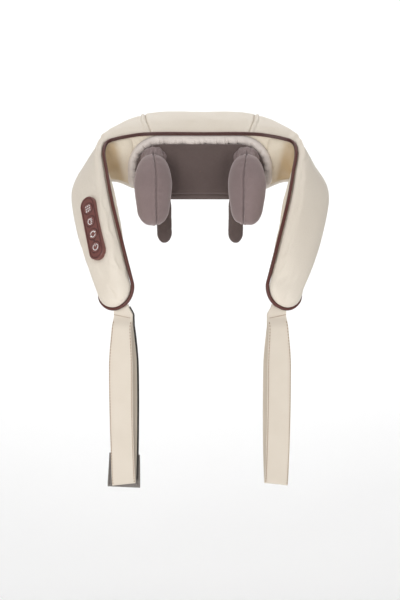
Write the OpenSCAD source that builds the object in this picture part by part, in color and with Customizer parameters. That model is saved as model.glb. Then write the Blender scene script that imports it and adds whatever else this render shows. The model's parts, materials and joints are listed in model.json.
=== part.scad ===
// Shiatsu neck and shoulder massager: a padded U-shaped body with a geared kneading unit behind
// the neck, two padded arms that come over the shoulders, and a hand loop under each arm.
// Millimetres, +Z up. The origin is the middle of the flat pad that rests on the nape, and the
// wearer's neck is on the -Y side of it. "left" is the -X side, which carries the control panel.

/* [Sewn covers and padding] */
// Thickness of the outer cover
cover_t = 2.0; // [1.6:0.1:2.4]
// Thickness of the liner that faces the wearer
liner_t = 1.4; // [1.0:0.1:1.6]
// Radius of the brown piping cord
piping_r = 2.0; // [1.5:0.1:2.4]
// Thickness of the foam over the rear housing
back_foam_t = 3.2; // [2.8:0.1:3.4]
// Length of the rounded end of each arm
arm_tip = 26; // [22:1:30]

/* [Hand loops] */
// Width of the strap webbing
strap_w = 38; // [30:1:42]
// Length of a loop from its stitch line to its fold
loop_len = 238; // [180:1:250]
// Widest gap between the two layers of a loop
loop_gap = 18; // [16:1:24]
// How far each loop is turned outwards
loop_yaw = 15; // [10:1:18]
// Thickness of the webbing
web_t = 1.6; // [1.2:0.1:2.0]

/* [Kneading unit] */
// Distance from the middle to each kneading head
head_x = 67; // [65:1:69]
// Tilt of each hub on the drive shaft
hub_tilt = 4; // [2:0.5:4.5]
// Eccentric throw of each hub
hub_throw = 2; // [1:0.5:2]
// Teeth on the worm wheel
wheel_teeth = 40; // [40:1:40]
// Gear module
gear_module = 0.8; // [0.8:0.1:0.8]

/* [Control panel] */
// Length of the capsule-shaped bezel
panel_len = 98; // [94:1:100]
// Width of the bezel
panel_w = 26; // [24:1:27]
// Distance between button centres
button_pitch = 20.5; // [19:0.5:21]
// Radius of a button
button_r = 7.4; // [6:0.2:7.6]

/* [Hidden] */

// ---- Colours ----
cream = [0.90, 0.86, 0.79];
piping_brown = [0.28, 0.13, 0.11];
suede = [0.45, 0.38, 0.37];
panel_brown = [0.42, 0.22, 0.21];
foam_white = [0.93, 0.92, 0.88];
webbing_cream = [0.88, 0.83, 0.75];
lining_grey = [0.27, 0.24, 0.23];
nylon_black = [0.12, 0.12, 0.13];
acetal_white = [0.90, 0.90, 0.87];
steel = [0.70, 0.71, 0.72];
brass_yellow = [0.80, 0.65, 0.30];
board_green = [0.10, 0.35, 0.20];

// ---- Small vector helpers ----
function unit(v) = v / norm(v);
function flip_x(v) = [-v[0], v[1], v[2]];
function sign_pow(c, n) = sign(c) * pow(abs(c), 2 / n);
function clamp(x, lo, hi) = min(max(x, lo), hi);
// Catmull-Rom spline between b and c.
function spline(a, b, c, d, t) =
    0.5 * (2 * b + (c - a) * t + (2 * a - 5 * b + 4 * c - d) * t * t + (3 * b - a - 3 * c + d) * t * t * t);

// ---- The padded body ----
// Stations along the right half, from the middle of the back to the end of the arm:
// [neck-side edge, outer edge, thickness, slope of the section, thinning towards the neck side].
STATIONS = [
    [[0, 34, 72], [0, 50, -36], 72, 0.34, 0],
    [[60, 33, 72], [60, 49, -37], 70, 0.34, 0],
    [[102, 27, 65], [98, 45, -26], 58, 0.26, 0.12],
    [[140, 6, 52], [130, 38, -18], 40, 0.12, 0.85],
    [[148, -22, 33], [162, 16, -20], 34, 0, 0.85],
    [[138.5, -54, 3], [176.5, -26, -40], 32, 0, 0.6],
    [[126, -90, -40], [168.5, -68, -80], 30, 0, 0.2],
    [[111, -122, -90], [153, -104, -124], 28, 0, 0],
    [[97, -142, -138], [138, -130, -164], 26, 0, 0],
];
last = len(STATIONS) - 1;
back_squareness = 3.2;
arm_squareness = 2.6;
piping_angle = -40;     // where the piping runs on the neck side of a section
lower_seam_angle = 220; // and on its outer side
seam_u = 1.35;          // the seams between the back cover and the arm covers
housing_u = 1.8;        // the ends of the hard rear housing
foam_u = 1.95;          // where the foam of an arm starts
piping_end_u = 4.2;     // where the piping ends on the outer seam
ang_step = 10;          // angle between points round a section

function station(k, field) =
    k < 0 ? (is_num(STATIONS[1][field]) ? STATIONS[1][field] : flip_x(STATIONS[1][field]))
    : k > last ? 2 * STATIONS[last][field] - STATIONS[last - 1][field]
    : STATIONS[k][field];
function along(u, field) =
    let (k = clamp(floor(u), 0, last - 1), t = u - k)
    spline(station(k - 1, field), station(k, field), station(k + 1, field), station(k + 2, field), t);
function middle(u) =
    u < 0 ? flip_x(middle(-u)) : (along(u, 0) + along(u, 1)) / 2;
// [middle, across, outwards, forwards, width, thickness] of the section at u.
function section_frame(u) =
    let (
        s = min(u, last),
        across = unit(along(s, 0) - along(s, 1)),
        rough = unit(middle(min(s + 0.02, last)) - middle(s - 0.02)),
        out = unit(cross(across, rough)),
        forward = cross(out, across)
    )
    [middle(s), across, out + across * along(s, 3), forward,
     norm(along(s, 0) - along(s, 1)), along(s, 2)];
// A point on the body, off millimetres under its surface, at an angle round the section at u.
// Past the last station the section shrinks into the rounded end of the arm.
function body_point(u, angle, off) =
    u < 0 ? flip_x(body_point(-u, angle, off)) :
    let (
        f = section_frame(u),
        square = back_squareness + (arm_squareness - back_squareness) * min(1, u / last),
        past = clamp(u - last, 0, 1),
        shrink = pow(1 - pow(past, 3), 1 / 3),
        c = sign_pow(cos(angle), square),
        s = sign_pow(sin(angle), square),
        thin = s > 0 ? along(min(u, last), 4) * (1 + c) / 2 : 0
    )
    f[0] + f[3] * past * (arm_tip - off)
    + f[1] * (f[4] / 2 - off) * c * shrink
    + f[2] * (f[5] / 2 * (1 - thin) - off) * s * shrink;

function steps(from, to, count) = [for (i = [0:count]) from + (to - from) * i / count];
back_us = steps(-seam_u, seam_u, 10);
housing_us = concat([-housing_u, -1.6], back_us, [1.6, housing_u]);
tip_us = [for (a = [18, 36, 54, 70]) last + sin(a)];
arm_us = concat([seam_u, 1.6, housing_u, foam_u], steps(2.4, last, 14), tip_us);
foam_us = concat([foam_u], steps(2.4, last, 14), tip_us);

// Side faces of a loft of rings with n points each.
function side_faces(rings, n) = [
    for (r = [0:rings - 2], i = [0:n - 1])
        let (a = r * n + i, b = r * n + (i + 1) % n)
        each [[a, b, b + n], [a, b + n, a + n]]
];
// A closed solid through rings of points. Rings run clockwise as seen from the last one.
module loft(rings) {
    n = len(rings[0]);
    m = len(rings);
    polyhedron(
        [for (ring = rings) each ring],
        concat([[for (i = [n - 1:-1:0]) i]], side_faces(m, n), [[for (i = [0:n - 1]) (m - 1) * n + i]]),
        convexity = 8
    );
}
// A strip of the body's skin between two angles and two depths. It is open at its first ring,
// and with closed_end it goes over the arm's end. Its long edges stop inset degrees short.
module skin(us, from_angle, to_angle, depth, thickness, closed_end = false, inset = 0) {
    angles = [for (a = [from_angle:ang_step:to_angle]) clamp(a, from_angle + inset, to_angle - inset)];
    c = len(angles);
    n = 2 * c;
    m = len(us);
    e = (m - 1) * n;
    points = [
        for (u = us) each concat(
            [for (a = angles) body_point(u, a, depth)],
            [for (i = [c - 1:-1:0]) body_point(u, angles[i], depth + thickness)]
        )
    ];
    start_open = [for (j = [0:c - 2]) each [[j, n - 1 - j, j + 1], [j + 1, n - 1 - j, n - 2 - j]]];
    end_open = [for (j = [0:c - 2])
        each [[e + j, e + j + 1, e + n - 2 - j], [e + j, e + n - 2 - j, e + n - 1 - j]]];
    end_closed = [[for (j = [0:c - 1]) e + j], [for (j = [c:n - 1]) e + j],
                  [e, e + c - 1, e + c], [e, e + c, e + n - 1]];
    polyhedron(
        points,
        concat(start_open, side_faces(m, n), closed_end ? end_closed : end_open),
        convexity = 10
    );
}
// The solid inside the skin, with extra depth on the side that faces the wearer.
module body_core(us, depth, inner_extra = 0) {
    loft([
        for (u = us) [
            for (a = [piping_angle:ang_step:piping_angle + 359])
                body_point(u, a, depth + inner_extra * sqrt(max(0, -sin(a))))
        ]
    ]);
}
// A tube with flat sides along a list of [point, outward direction].
module cord(path, r, sides = 8) {
    m = len(path);
    rings = [
        for (i = [0:m - 1])
            let (
                t = unit(path[min(i + 1, m - 1)][0] - path[max(i - 1, 0)][0]),
                b = unit(cross(t, path[i][1])),
                o = cross(b, t)
            )
            [for (s = [0:sides - 1]) path[i][0] + r * (cos(s * 360 / sides) * o + sin(s * 360 / sides) * b)]
    ];
    polyhedron(
        [for (ring = rings) each ring],
        concat(
            [[for (s = [0:sides - 1]) s], [for (s = [sides - 1:-1:0]) (m - 1) * sides + s]],
            [for (i = [0:m - 2], s = [0:sides - 1])
                let (a = i * sides + s, b = i * sides + (s + 1) % sides)
                each [[a, a + sides, b], [b, a + sides, b + sides]]]
        ),
        convexity = 10
    );
}

// ---- Rods, capsules and rounded plates ----
module rod(a, b, r, start = 0, end = 0) {
    d = b - a;
    translate(a) {
        rotate([0, acos(d[2] / norm(d)), atan2(d[1], d[0])]) cylinder(h = norm(d), r = r, $fn = 32);
        if (start > 0) sphere(r = start, $fn = 32);
    }
    if (end > 0) translate(b) sphere(r = end, $fn = 32);
}
module capsule(len, w) {
    square([w, len - w], center = true);
    for (s = [-1, 1]) translate([0, s * (len - w) / 2]) circle(d = w, $fn = 48);
}
module rounded(x, z, r) {
    square([x - 2 * r, z], center = true);
    square([x, z - 2 * r], center = true);
    for (i = [-1, 1], j = [-1, 1]) translate([i * (x / 2 - r), j * (z / 2 - r)]) circle(r = r, $fn = 32);
}
// Extrudes an X-Z outline from y0 to y1.
module slab(y0, y1) {
    translate([0, y1, 0]) rotate([90, 0, 0]) linear_extrude(y1 - y0) children();
}
module both() {
    children();
    mirror([1, 0, 0]) children();
}
module screw(len, r = 1.5, head_r = 2.75, head_h = 1.8) {
    cylinder(h = len, r = r, $fn = 24);
    translate([0, 0, -head_h]) difference() {
        cylinder(h = head_h, r = head_r, $fn = 24);
        translate([0, 0, -1]) cylinder(h = 2.1, r = 1.3, $fn = 6);
    }
}

// ---- Kneading unit: sizes ----
wheel_r = gear_module * wheel_teeth / 2;
worm_r = 5;
shaft_y = 30;
shaft_r = 4;
worm_y = shaft_y + wheel_r + worm_r;
hub_r = 13;
bushing_r = 16;
ring_r = 20.5;
pad_bottom = -41;
pad_top = 38;
pad_x = 94;

// The outline of the kneading pad, with large upper corners and cut-off lower corners.
module pad_outline(grow = 0) {
    corner = 36 + grow;
    hull() both() {
        translate([pad_x - 36, pad_top - 36]) circle(r = corner, $fn = 48);
        translate([pad_x - 6, -12]) circle(r = 6 + grow, $fn = 24);
        translate([66, pad_bottom + 8]) circle(r = 8 + grow, $fn = 24);
    }
}

// ---- Sewn covers ----
module port_place() {
    translate([45, 49.2, -37.6]) rotate([8.5, 0, 0]) children();
}
module port_cut() {
    port_place() translate([0, 0, 5]) cube([16.3, 9.3, 22], center = true);
}
module outer_cover_center() color(cream) difference() {
    skin(back_us, piping_angle, lower_seam_angle, 0, cover_t);
    port_cut();
    finger_slots();
}
module arm_cover() {
    difference() {
        skin(arm_us, piping_angle, lower_seam_angle, 0, cover_t, closed_end = true);
        tab_place() tab_shape(0.15);
        children();
    }
}
module outer_cover_right() color(cream) arm_cover();
module outer_cover_left() color(cream) mirror([1, 0, 0]) arm_cover() mirror([1, 0, 0]) panel_cut();
module liner() {
    difference() {
        skin(foam_us, lower_seam_angle, 360 + piping_angle, 0, liner_t, closed_end = true, inset = 0.8);
        tab_place() tab_shape(0.15);
        rim_room();
    }
}
module liner_right() color(cream) liner();
module liner_left() color(cream) mirror([1, 0, 0]) liner();

piping_out = piping_r + 0.35;
function piping_at(u, angle) =
    let (p = body_point(u, angle, -piping_out))
    [p, unit(p - body_point(u, angle, 0))];
// The piping cord, grown by extra.
module piping_cord(extra = 0) {
    us = concat([0, 0.45, 0.9], steps(seam_u, last, 18), tip_us);
    tip = len(us) - 1;
    end_u = us[tip] + 0.035;
    half = concat(
        [for (u = us) piping_at(u, piping_angle)],
        [for (a = [piping_angle, lower_seam_angle]) [
            body_point(end_u, a, -0.5) + section_frame(last)[3] * (piping_out + 0.5),
            section_frame(last)[3]
        ]],
        [for (i = [tip:-1:0]) if (us[i] > piping_end_u) piping_at(us[i], lower_seam_angle)]
    );
    other = [for (i = [len(half) - 1:-1:1]) [flip_x(half[i][0]), flip_x(half[i][1])]];
    cord(concat(other, half), piping_r + extra);
}
module piping() color(piping_brown) piping_cord();

// The room that the kneading pad and its rim take out of the arms' filling and liners.
module rim_room() {
    slab(-30, 14.3) pad_outline(10.3);
}
module gathered_rim() color(cream) difference() {
    slab(1, 13) pad_outline(10);
    slab(0, 14) pad_outline(0.3);
    translate([-150, -1, -80]) cube([300, 20, 56]);
}
module head_window() {
    translate([head_x, 13]) rounded(36, 36, 14);
}
// The slots that the lower prongs come out through.
module finger_slots() {
    both() translate([43, 8.5, -70]) cube([28, 22, 50]);
}
module knead_cover() color(suede) difference() {
    slab(3, 14) pad_outline(0);
    slab(5, 15) pad_outline(-2);
    slab(2, 6) both() head_window();
    finger_slots();
}
module nape_pad() color(suede) slab(0, 3) rounded(72, 66, 10);
module heater_film() color([0.75, 0.45, 0.15]) slab(5.2, 5.8) rounded(64, 56, 6);

module back_foam() color(foam_white) difference() {
    skin(housing_us, -30, 190, cover_t + 0.15, back_foam_t);
    port_cut();
}
module arm_foam() {
    difference() {
        body_core(foam_us, cover_t + 1.2, inner_extra = 1.2);
        tab_place() tab_shape(0.15);
        rim_room();
        children();
    }
}
module arm_foam_right() color(foam_white) arm_foam();
module arm_foam_left() color(foam_white) mirror([1, 0, 0]) arm_foam() mirror([1, 0, 0]) panel_cut();
module arm_stay() skin([for (u = [3:0.25:7.5]) u], 250, 290, liner_t + 0.45, 1.2);
module arm_stay_right() color(nylon_black) arm_stay();
module arm_stay_left() color(nylon_black) mirror([1, 0, 0]) arm_stay();

// ---- Housing ----
housing_depth = cover_t + back_foam_t + 0.3;
plate_y = 8;
plate_t = 2.3;
post_at = [[40, 27], [40, -27], [86, 2]];
ear_x = 23;
module rear_housing() color(nylon_black) difference() {
    union() {
        skin(housing_us, -30, 190, housing_depth, 2.5);
        both() loft([
            for (u = [housing_u - 0.08, housing_u - 0.02])
                [for (a = [-25:ang_step:185]) body_point(u, a, housing_depth + 1)]
        ]);
        intersection() {
            body_core(housing_us, housing_depth + 1);
            both() {
                for (p = post_at) translate([p[0], plate_y + plate_t, p[1]]) rotate([-90, 0, 0])
                    cylinder(h = 70, r = 3.4, $fn = 32);
                translate([ear_x, 52, 0]) rotate([-90, 0, 0]) cylinder(h = 30, r = 3.6, $fn = 32);
                for (s = [-1, 1]) translate([head_x, 66, s * 7.1]) cube([14, 22, 2], center = true);
            }
        }
    }
    both() {
        for (p = post_at) translate([p[0], plate_y + plate_t - 1, p[1]]) rotate([-90, 0, 0])
            cylinder(h = 14, r = 1.6, $fn = 24);
        translate([ear_x, 51, 0]) rotate([-90, 0, 0]) cylinder(h = 12, r = 1.6, $fn = 24);
    }
    port_cut();
}
module front_plate() color(nylon_black) difference() {
    slab(plate_y, plate_y + plate_t) pad_outline(-4);
    slab(plate_y - 1, plate_y + plate_t + 1) both() {
        head_window();
        translate([head_x, -2]) rounded(27, 42, 6);
        for (p = post_at) translate(p) circle(r = 1.7, $fn = 24);
    }
}
module housing_screws() color(steel) both()
    for (p = post_at) translate([p[0], plate_y - 0.05, p[1]]) rotate([-90, 0, 0]) screw(13);

module usb_port() color(nylon_black) port_place() difference() {
    translate([0, 0, 7]) cube([16, 9, 15.6], center = true);
    translate([0, 0, -2]) linear_extrude(7.2) rotate(90) capsule(9, 3.2);
}

// ---- Gearbox and motor ----
gearbox_outline = [[10.9, -19.5], [45, -19.5], [62.5, -12.5], [62.5, 19.5], [10.9, 19.5]];
gearbox_x = 15;
case_screw_at = [[14.3, -16.4], [14.3, 16.4], [47.5, -16], [59.5, 16]];
motor_z = 19.7;
motor_len = 27;
motor_r = 12;
// The right half of the gear case. It closes against the left half, and both clamp the motor.
module gear_case() {
    difference() {
        union() {
            rotate([90, 0, 90]) linear_extrude(gearbox_x) polygon(gearbox_outline);
            translate([0, shaft_y, 0]) rotate([0, 90, 0]) cylinder(h = 21, r = 10, $fn = 48);
            translate([0, worm_y, motor_z - 1]) cylinder(h = 11, r = motor_r + 2.5, $fn = 48);
            translate([14, 48.5, -4.5]) cube([13, 3.3, 9]);
        }
        translate([-1, shaft_y, 0]) rotate([0, 90, 0]) {
            cylinder(h = 5.8, r = wheel_r + 1.7, $fn = 64);
            cylinder(h = 10, r = 9, $fn = 48);
            cylinder(h = 30, r = shaft_r + 0.4, $fn = 32);
        }
        translate([12, shaft_y, 0]) rotate([0, 90, 0]) cylinder(h = 10, r = 7, $fn = 48);
        translate([0, worm_y, -11.5]) cylinder(h = 40, r = 6.6, $fn = 48);
        translate([0, worm_y, -30]) cylinder(h = 40, r = 1.56, $fn = 24);
        translate([0, worm_y, motor_z]) cylinder(h = 40, r = motor_r + 0.02, $fn = 48);
        translate([-20, 0, -50]) cube([20, 100, 120]);
        for (p = case_screw_at) translate([-1, p[0], p[1]]) rotate([0, 90, 0])
            cylinder(h = 30, r = 1.55, $fn = 24);
        translate([ear_x, 45, 0]) rotate([-90, 0, 0]) cylinder(h = 10, r = 1.7, $fn = 24);
    }
}
module gearbox_right() color([0.35, 0.36, 0.38]) gear_case();
module gearbox_left() color([0.35, 0.36, 0.38]) mirror([1, 0, 0]) gear_case();
module gearbox_screws() color(steel) {
    for (p = case_screw_at) translate([gearbox_x + 0.05, p[0], p[1]]) rotate([0, -90, 0]) screw(28);
    both() translate([ear_x, 48.45, 0]) rotate([-90, 0, 0]) screw(12);
}
module shaft_bushing() translate([12, shaft_y, 0]) rotate([0, 90, 0]) difference() {
    cylinder(h = 9, r = 6.98, $fn = 48);
    translate([0, 0, -1]) cylinder(h = 12, r = shaft_r + 0.05, $fn = 32);
}
module shaft_bushing_right() color(brass_yellow) shaft_bushing();
module shaft_bushing_left() color(brass_yellow) mirror([1, 0, 0]) shaft_bushing();

module motor_can() color(steel) translate([0, worm_y, motor_z]) difference() {
    cylinder(h = motor_len, r = motor_r, $fn = 48);
    translate([0, 0, 1.5]) cylinder(h = motor_len, r = motor_r - 1.2, $fn = 48);
    translate([0, 0, -1]) cylinder(h = 5, r = 2.2, $fn = 24);
}
module motor_cap() color(nylon_black) translate([0, worm_y, motor_z + motor_len]) {
    difference() {
        union() {
            cylinder(h = 2, r = motor_r - 0.4, $fn = 48);
            translate([0, 0, -3]) cylinder(h = 3, r = motor_r - 1.3, $fn = 48);
        }
        translate([0, 0, -4]) cylinder(h = 5, r = 3, $fn = 24);
    }
    for (s = [-1, 1]) translate([s * 6 - 0.4, -2, 2]) cube([0.8, 3, 4]);
}
module motor_shaft() color(steel) translate([0, worm_y, 0]) {
    translate([0, 0, -16]) cylinder(h = 62, r = 1.5, $fn = 24);
    translate([0, 0, motor_z + 4]) cylinder(h = 17, r = 9, $fn = 48);
}
pitch = PI * gear_module;
tooth = 0.40 * pitch;
thread_tip = worm_r + 0.7 * gear_module + 0.1;
thread_root = worm_r - 1.15;
// The right-handed thread's radius at height z and angle a. A gap faces the wheel at z = 0.
function thread_r(z, a) =
    let (turns = z / pitch - (a + 90) / 360 - 0.5, away = abs(turns - round(turns)) * pitch)
    clamp(worm_r + (tooth / 2 - away) / tan(20), thread_root, thread_tip);
module worm() color(brass_yellow) translate([0, worm_y, 0]) difference() {
    loft([
        for (k = [-28:28]) let (z = k * pitch / 10) [
            for (a = [0:-18:-342]) let (r = thread_r(z, a)) [r * cos(a), r * sin(a), z]
        ]
    ]);
    translate([0, 0, -20]) cylinder(h = 40, r = 1.5, $fn = 24);
}

// ---- Drive shaft, worm wheel and hubs ----
module main_shaft() color(steel) translate([-79, shaft_y, 0]) rotate([0, 90, 0]) difference() {
    cylinder(h = 158, r = shaft_r, $fn = 48);
    for (z = [-1, 149]) translate([0, 0, z]) cylinder(h = 10, r = 1.6, $fn = 24);
}
function involute(r) = let (a = acos(min(1, wheel_r * cos(20) / r))) tan(a) * 180 / PI - a;
function half_tooth(r) = tooth / 2 / wheel_r * 180 / PI + involute(wheel_r) - involute(r);
module worm_wheel() color(acetal_white) translate([0, shaft_y, 0]) rotate([90, 0, 90]) difference() {
    radii = [wheel_r - 0.95, wheel_r - 0.5, wheel_r, wheel_r + 0.7 * gear_module + 0.1];
    union() {
        translate([0, 0, -3.5]) linear_extrude(7) polygon([
            for (k = [0:wheel_teeth - 1]) each concat(
                [for (r = radii) let (a = 360 * k / wheel_teeth - half_tooth(r)) r * [cos(a), sin(a)]],
                [for (i = [3:-1:0]) let (r = radii[i], a = 360 * k / wheel_teeth + half_tooth(r))
                    r * [cos(a), sin(a)]]
            )
        ]);
        translate([0, 0, -7]) cylinder(h = 14, r = 7.5, $fn = 48);
    }
    translate([0, 0, -10]) cylinder(h = 20, r = shaft_r, $fn = 48);
}
// The frame of the right hub, claw ring and bushing: X runs along the tilted hub.
module on_hub() {
    translate([head_x, shaft_y, hub_throw]) rotate([0, hub_tilt, 0]) rotate([0, 90, 0]) children();
}
module hub() {
    difference() {
        on_hub() union() {
            translate([0, 0, -8]) cylinder(h = 15, r = hub_r, $fn = 64);
            translate([0, 0, -8.5]) cylinder(h = 2, r = hub_r + 2, $fn = 64);
        }
        translate([head_x - 30, shaft_y, 0]) rotate([0, 90, 0]) cylinder(h = 60, r = shaft_r, $fn = 48);
    }
}
module hub_right() color([0.75, 0.75, 0.78]) hub();
module hub_left() color([0.75, 0.75, 0.78]) mirror([1, 0, 0]) hub();
module hub_screws() color(steel) both() translate([79.05, shaft_y, 0]) rotate([0, -90, 0])
    screw(8, head_r = 4.4, head_h = 2);

// ---- Claws ----
claw_path = [[head_x, 14, 11], [head_x, -14, 13], [head_x, -38, -8], [head_x, -42, -46]];
finger_path = [[head_x - 3, 27, -16], [head_x - 13.5, 18, -47], [head_x - 15, 18, -94]];
module claw_prongs(extra = 0) {
    rod(claw_path[0], claw_path[1], 6.5 + extra, end = 8.6 + extra);
    rod(claw_path[1], claw_path[2], 7.5 + extra, end = 9.3 + extra);
    rod(claw_path[2], claw_path[3], 8 + extra, end = 9 + extra);
    rod(finger_path[0], finger_path[1], 4.5 + extra, end = 5.4 + extra);
    rod(finger_path[1], finger_path[2], 4.2 + extra, end = 5 + extra);
}
module claw() {
    difference() {
        union() {
            on_hub() translate([0, 0, -6]) cylinder(h = 12, r = ring_r, $fn = 64);
            claw_prongs();
            rod([head_x, 46, hub_throw], [head_x, 56, hub_throw], 3, end = 3.6);
        }
        on_hub() translate([0, 0, -20]) cylinder(h = 40, r = bushing_r, $fn = 64);
    }
}
module claw_right() color(acetal_white) claw();
module claw_left() color(acetal_white) mirror([1, 0, 0]) claw();
module claw_bushing() on_hub() difference() {
    translate([0, 0, -6]) cylinder(h = 12, r = bushing_r, $fn = 64);
    translate([0, 0, -10]) cylinder(h = 20, r = hub_r + 0.06, $fn = 64);
}
module claw_bushing_right() color(brass_yellow) claw_bushing();
module claw_bushing_left() color(brass_yellow) mirror([1, 0, 0]) claw_bushing();

// Stations of a kneading head: [y, z, half width, half depth], from its neck to its tip.
HEAD = [
    [1, 15, 13, 12], [-12, 14, 19, 14], [-27, 5, 25, 17], [-38, -12, 27, 19],
    [-42, -32, 26, 18.5], [-42, -54, 23.5, 17], [-41, -75, 21, 15],
];
function head_station(i) = HEAD[clamp(i, 0, len(HEAD) - 1)];
function head_at(u) =
    let (k = clamp(floor(u), 0, len(HEAD) - 2))
    spline(head_station(k - 1), head_station(k), head_station(k + 1), head_station(k + 2), u - k);
function head_ring(u, shrink) =
    let (
        h = head_at(u),
        d = head_at(min(u + 0.05, len(HEAD) - 1)) - head_at(max(u - 0.05, 0)),
        t = unit([0, d[0], d[1]]),
        across = [0, t[2], -t[1]]
    )
    [for (a = [0:18:342])
        [head_x, h[0], h[1]] + shrink * (cos(a) * h[2] * [1, 0, 0] + sin(a) * h[3] * across)];
module kneading_head() {
    n = len(HEAD) - 1;
    difference() {
        loft(concat(
            [for (u = [0:0.25:n - 1]) head_ring(u, 1)],
            [for (a = [15, 30, 45, 60, 73, 84]) head_ring(n - 1 + sin(a), cos(a))]
        ));
        claw_prongs(0.1);
    }
}
module kneading_head_right() color(suede) kneading_head();
module kneading_head_left() color(suede) mirror([1, 0, 0]) kneading_head();
module finger_pad() {
    difference() {
        slab(11.5, 24.5) translate([head_x - 15, 0]) polygon(concat(
            [[-11, -46], [11, -46]],
            [for (a = [0:-9:-180]) [11 * cos(a), -95 + 14 * sin(a)]]
        ));
        claw_prongs(0.1);
    }
}
module finger_pad_right() color(suede) finger_pad();
module finger_pad_left() color(suede) mirror([1, 0, 0]) finger_pad();

// ---- Power and control ----
module battery() translate([26, 41, 45]) rotate([0, 90, 0]) {
    cylinder(h = 64, r = 9.1, $fn = 48);
    translate([0, 0, 64]) cylinder(h = 1, r = 3, $fn = 24);
}
module battery_right() color([0.15, 0.35, 0.60]) battery();
module battery_left() color([0.15, 0.35, 0.60]) mirror([1, 0, 0]) battery();
module control_board() color(board_green) {
    translate([29, 57, -20]) cube([26, 1.6, 40]);
    translate([33, 54.5, -12]) cube([9, 2.5, 9]);
    for (z = [2, 10]) translate([35, 56, z]) cube([5, 1, 4]);
    translate([49, 57, 9]) rotate([90, 0, 0]) cylinder(h = 8, r = 4, $fn = 32);
}

// The control panel's frame on the left arm: X across it, Y up the arm and Z outwards.
panel_u = 6.38;
panel_angle = 88.5;
panel_turn = -3.5;
panel_sink = 0.6;
function panel_axes() =
    let (
        du = body_point(panel_u + 0.7, panel_angle, 0) - body_point(panel_u - 0.7, panel_angle, 0),
        da = body_point(panel_u, panel_angle + 10, 0) - body_point(panel_u, panel_angle - 10, 0),
        n = flip_x(unit(cross(du, da))),
        side = unit(cross(-flip_x(du), n)),
        across = side * cos(panel_turn) + cross(n, side) * sin(panel_turn)
    )
    [across, cross(n, across), n];
module on_panel() {
    a = panel_axes();
    o = flip_x(body_point(panel_u, panel_angle, panel_sink));
    multmatrix([
        [a[0][0], a[1][0], a[2][0], o[0]],
        [a[0][1], a[1][1], a[2][1], o[1]],
        [a[0][2], a[1][2], a[2][2], o[2]],
    ]) children();
}
bezel_top = 1.6;
bezel_bottom = -6.4;
button_at = [for (i = [1.5, 0.5, -0.5, -1.5]) i * button_pitch];
module panel_cut() on_panel() translate([0, 0, -6.6]) linear_extrude(20) capsule(panel_len + 0.3, panel_w + 0.3);
module panel_bezel() color(panel_brown) on_panel() difference() {
    translate([0, 0, bezel_bottom]) linear_extrude(bezel_top - bezel_bottom) capsule(panel_len, panel_w);
    translate([0, 0, bezel_bottom - 1]) linear_extrude(bezel_top - bezel_bottom - 1)
        capsule(panel_len - 4, panel_w - 4);
    for (y = button_at) translate([0, y, -3]) cylinder(h = 10, r = button_r + 0.25, $fn = 48);
    translate([0, 0, bezel_top - 0.5]) linear_extrude(1) difference() {
        capsule(panel_len - 4, panel_w - 4);
        capsule(panel_len - 5.6, panel_w - 5.6);
    }
}
module button(i) color(panel_brown) on_panel() translate([0, button_at[i], 0]) {
    translate([0, 0, -0.8]) cylinder(h = bezel_top + 0.8, r = button_r, $fn = 48);
    translate([0, 0, bezel_top]) cylinder(h = 0.8, r1 = button_r, r2 = button_r - 1.2, $fn = 48);
    translate([0, 0, -1.8]) cylinder(h = 1, r = button_r + 1.4, $fn = 48);
    translate([0, 0, -2.3]) cylinder(h = 0.5, r = 2, $fn = 24);
}
module button_heat() button(0);
module button_direction() button(1);
module button_mode() button(2);
module button_power() button(3);
module button_board() color(board_green) on_panel() {
    translate([0, 0, bezel_bottom + 0.2]) linear_extrude(1.6) capsule(panel_len - 4.4, panel_w - 4.4);
    for (y = button_at) translate([0, y, bezel_bottom + 1.8]) cylinder(h = 1.3, r = 3, $fn = 24);
}

// ---- Straps ----
hinge = [106, -148, -187];
// Places the right strap's frame: -Y is its front, X its width, and the origin its stitch line.
module tab_place() {
    translate(hinge) rotate([0, 0, loop_yaw]) children();
}
module tab_shape(extra = 0) {
    translate([0, 0, 13.5]) cube([34 + 2 * extra, 3 + 2 * extra, 22], center = true);
}
module strap_tab() {
    difference() {
        tab_place() tab_shape();
        piping_cord(0.25);
    }
}
module strap_tab_right() color(webbing_cream) strap_tab();
module strap_tab_left() color(webbing_cream) mirror([1, 0, 0]) strap_tab();
// Half the gap between a loop's layers, s of the way down.
function half_gap(s) = loop_gap / 2 * pow(max(0, sin(180 * pow(clamp((s - 0.02) / 0.975, 0, 1), 0.8))), 0.7);
loop_steps = steps(0.0, 1, 40);
// The closed outline round a loop's cavity, grown by t. Points are [y, z].
function loop_outline(t) = concat(
    [for (s = loop_steps) [half_gap(s) + t, -s * loop_len - (s == 1 ? t : 0)]],
    [for (i = [40:-1:0]) let (s = loop_steps[i]) [-half_gap(s) - t, -s * loop_len - (s == 1 ? t : 0)]]
);
module web(width) {
    translate([-width / 2, 0, 0]) rotate([90, 0, 90]) linear_extrude(width) children();
}
module strap_loop() {
    tab_place() web(strap_w) difference() {
        polygon(loop_outline(web_t));
        polygon([
            for (s = loop_steps) if (half_gap(s) > 0.01) [half_gap(s), -s * loop_len],
            for (i = [40:-1:0]) let (s = loop_steps[i]) if (half_gap(s) > 0.01) [-half_gap(s), -s * loop_len],
        ]);
    }
}
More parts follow.
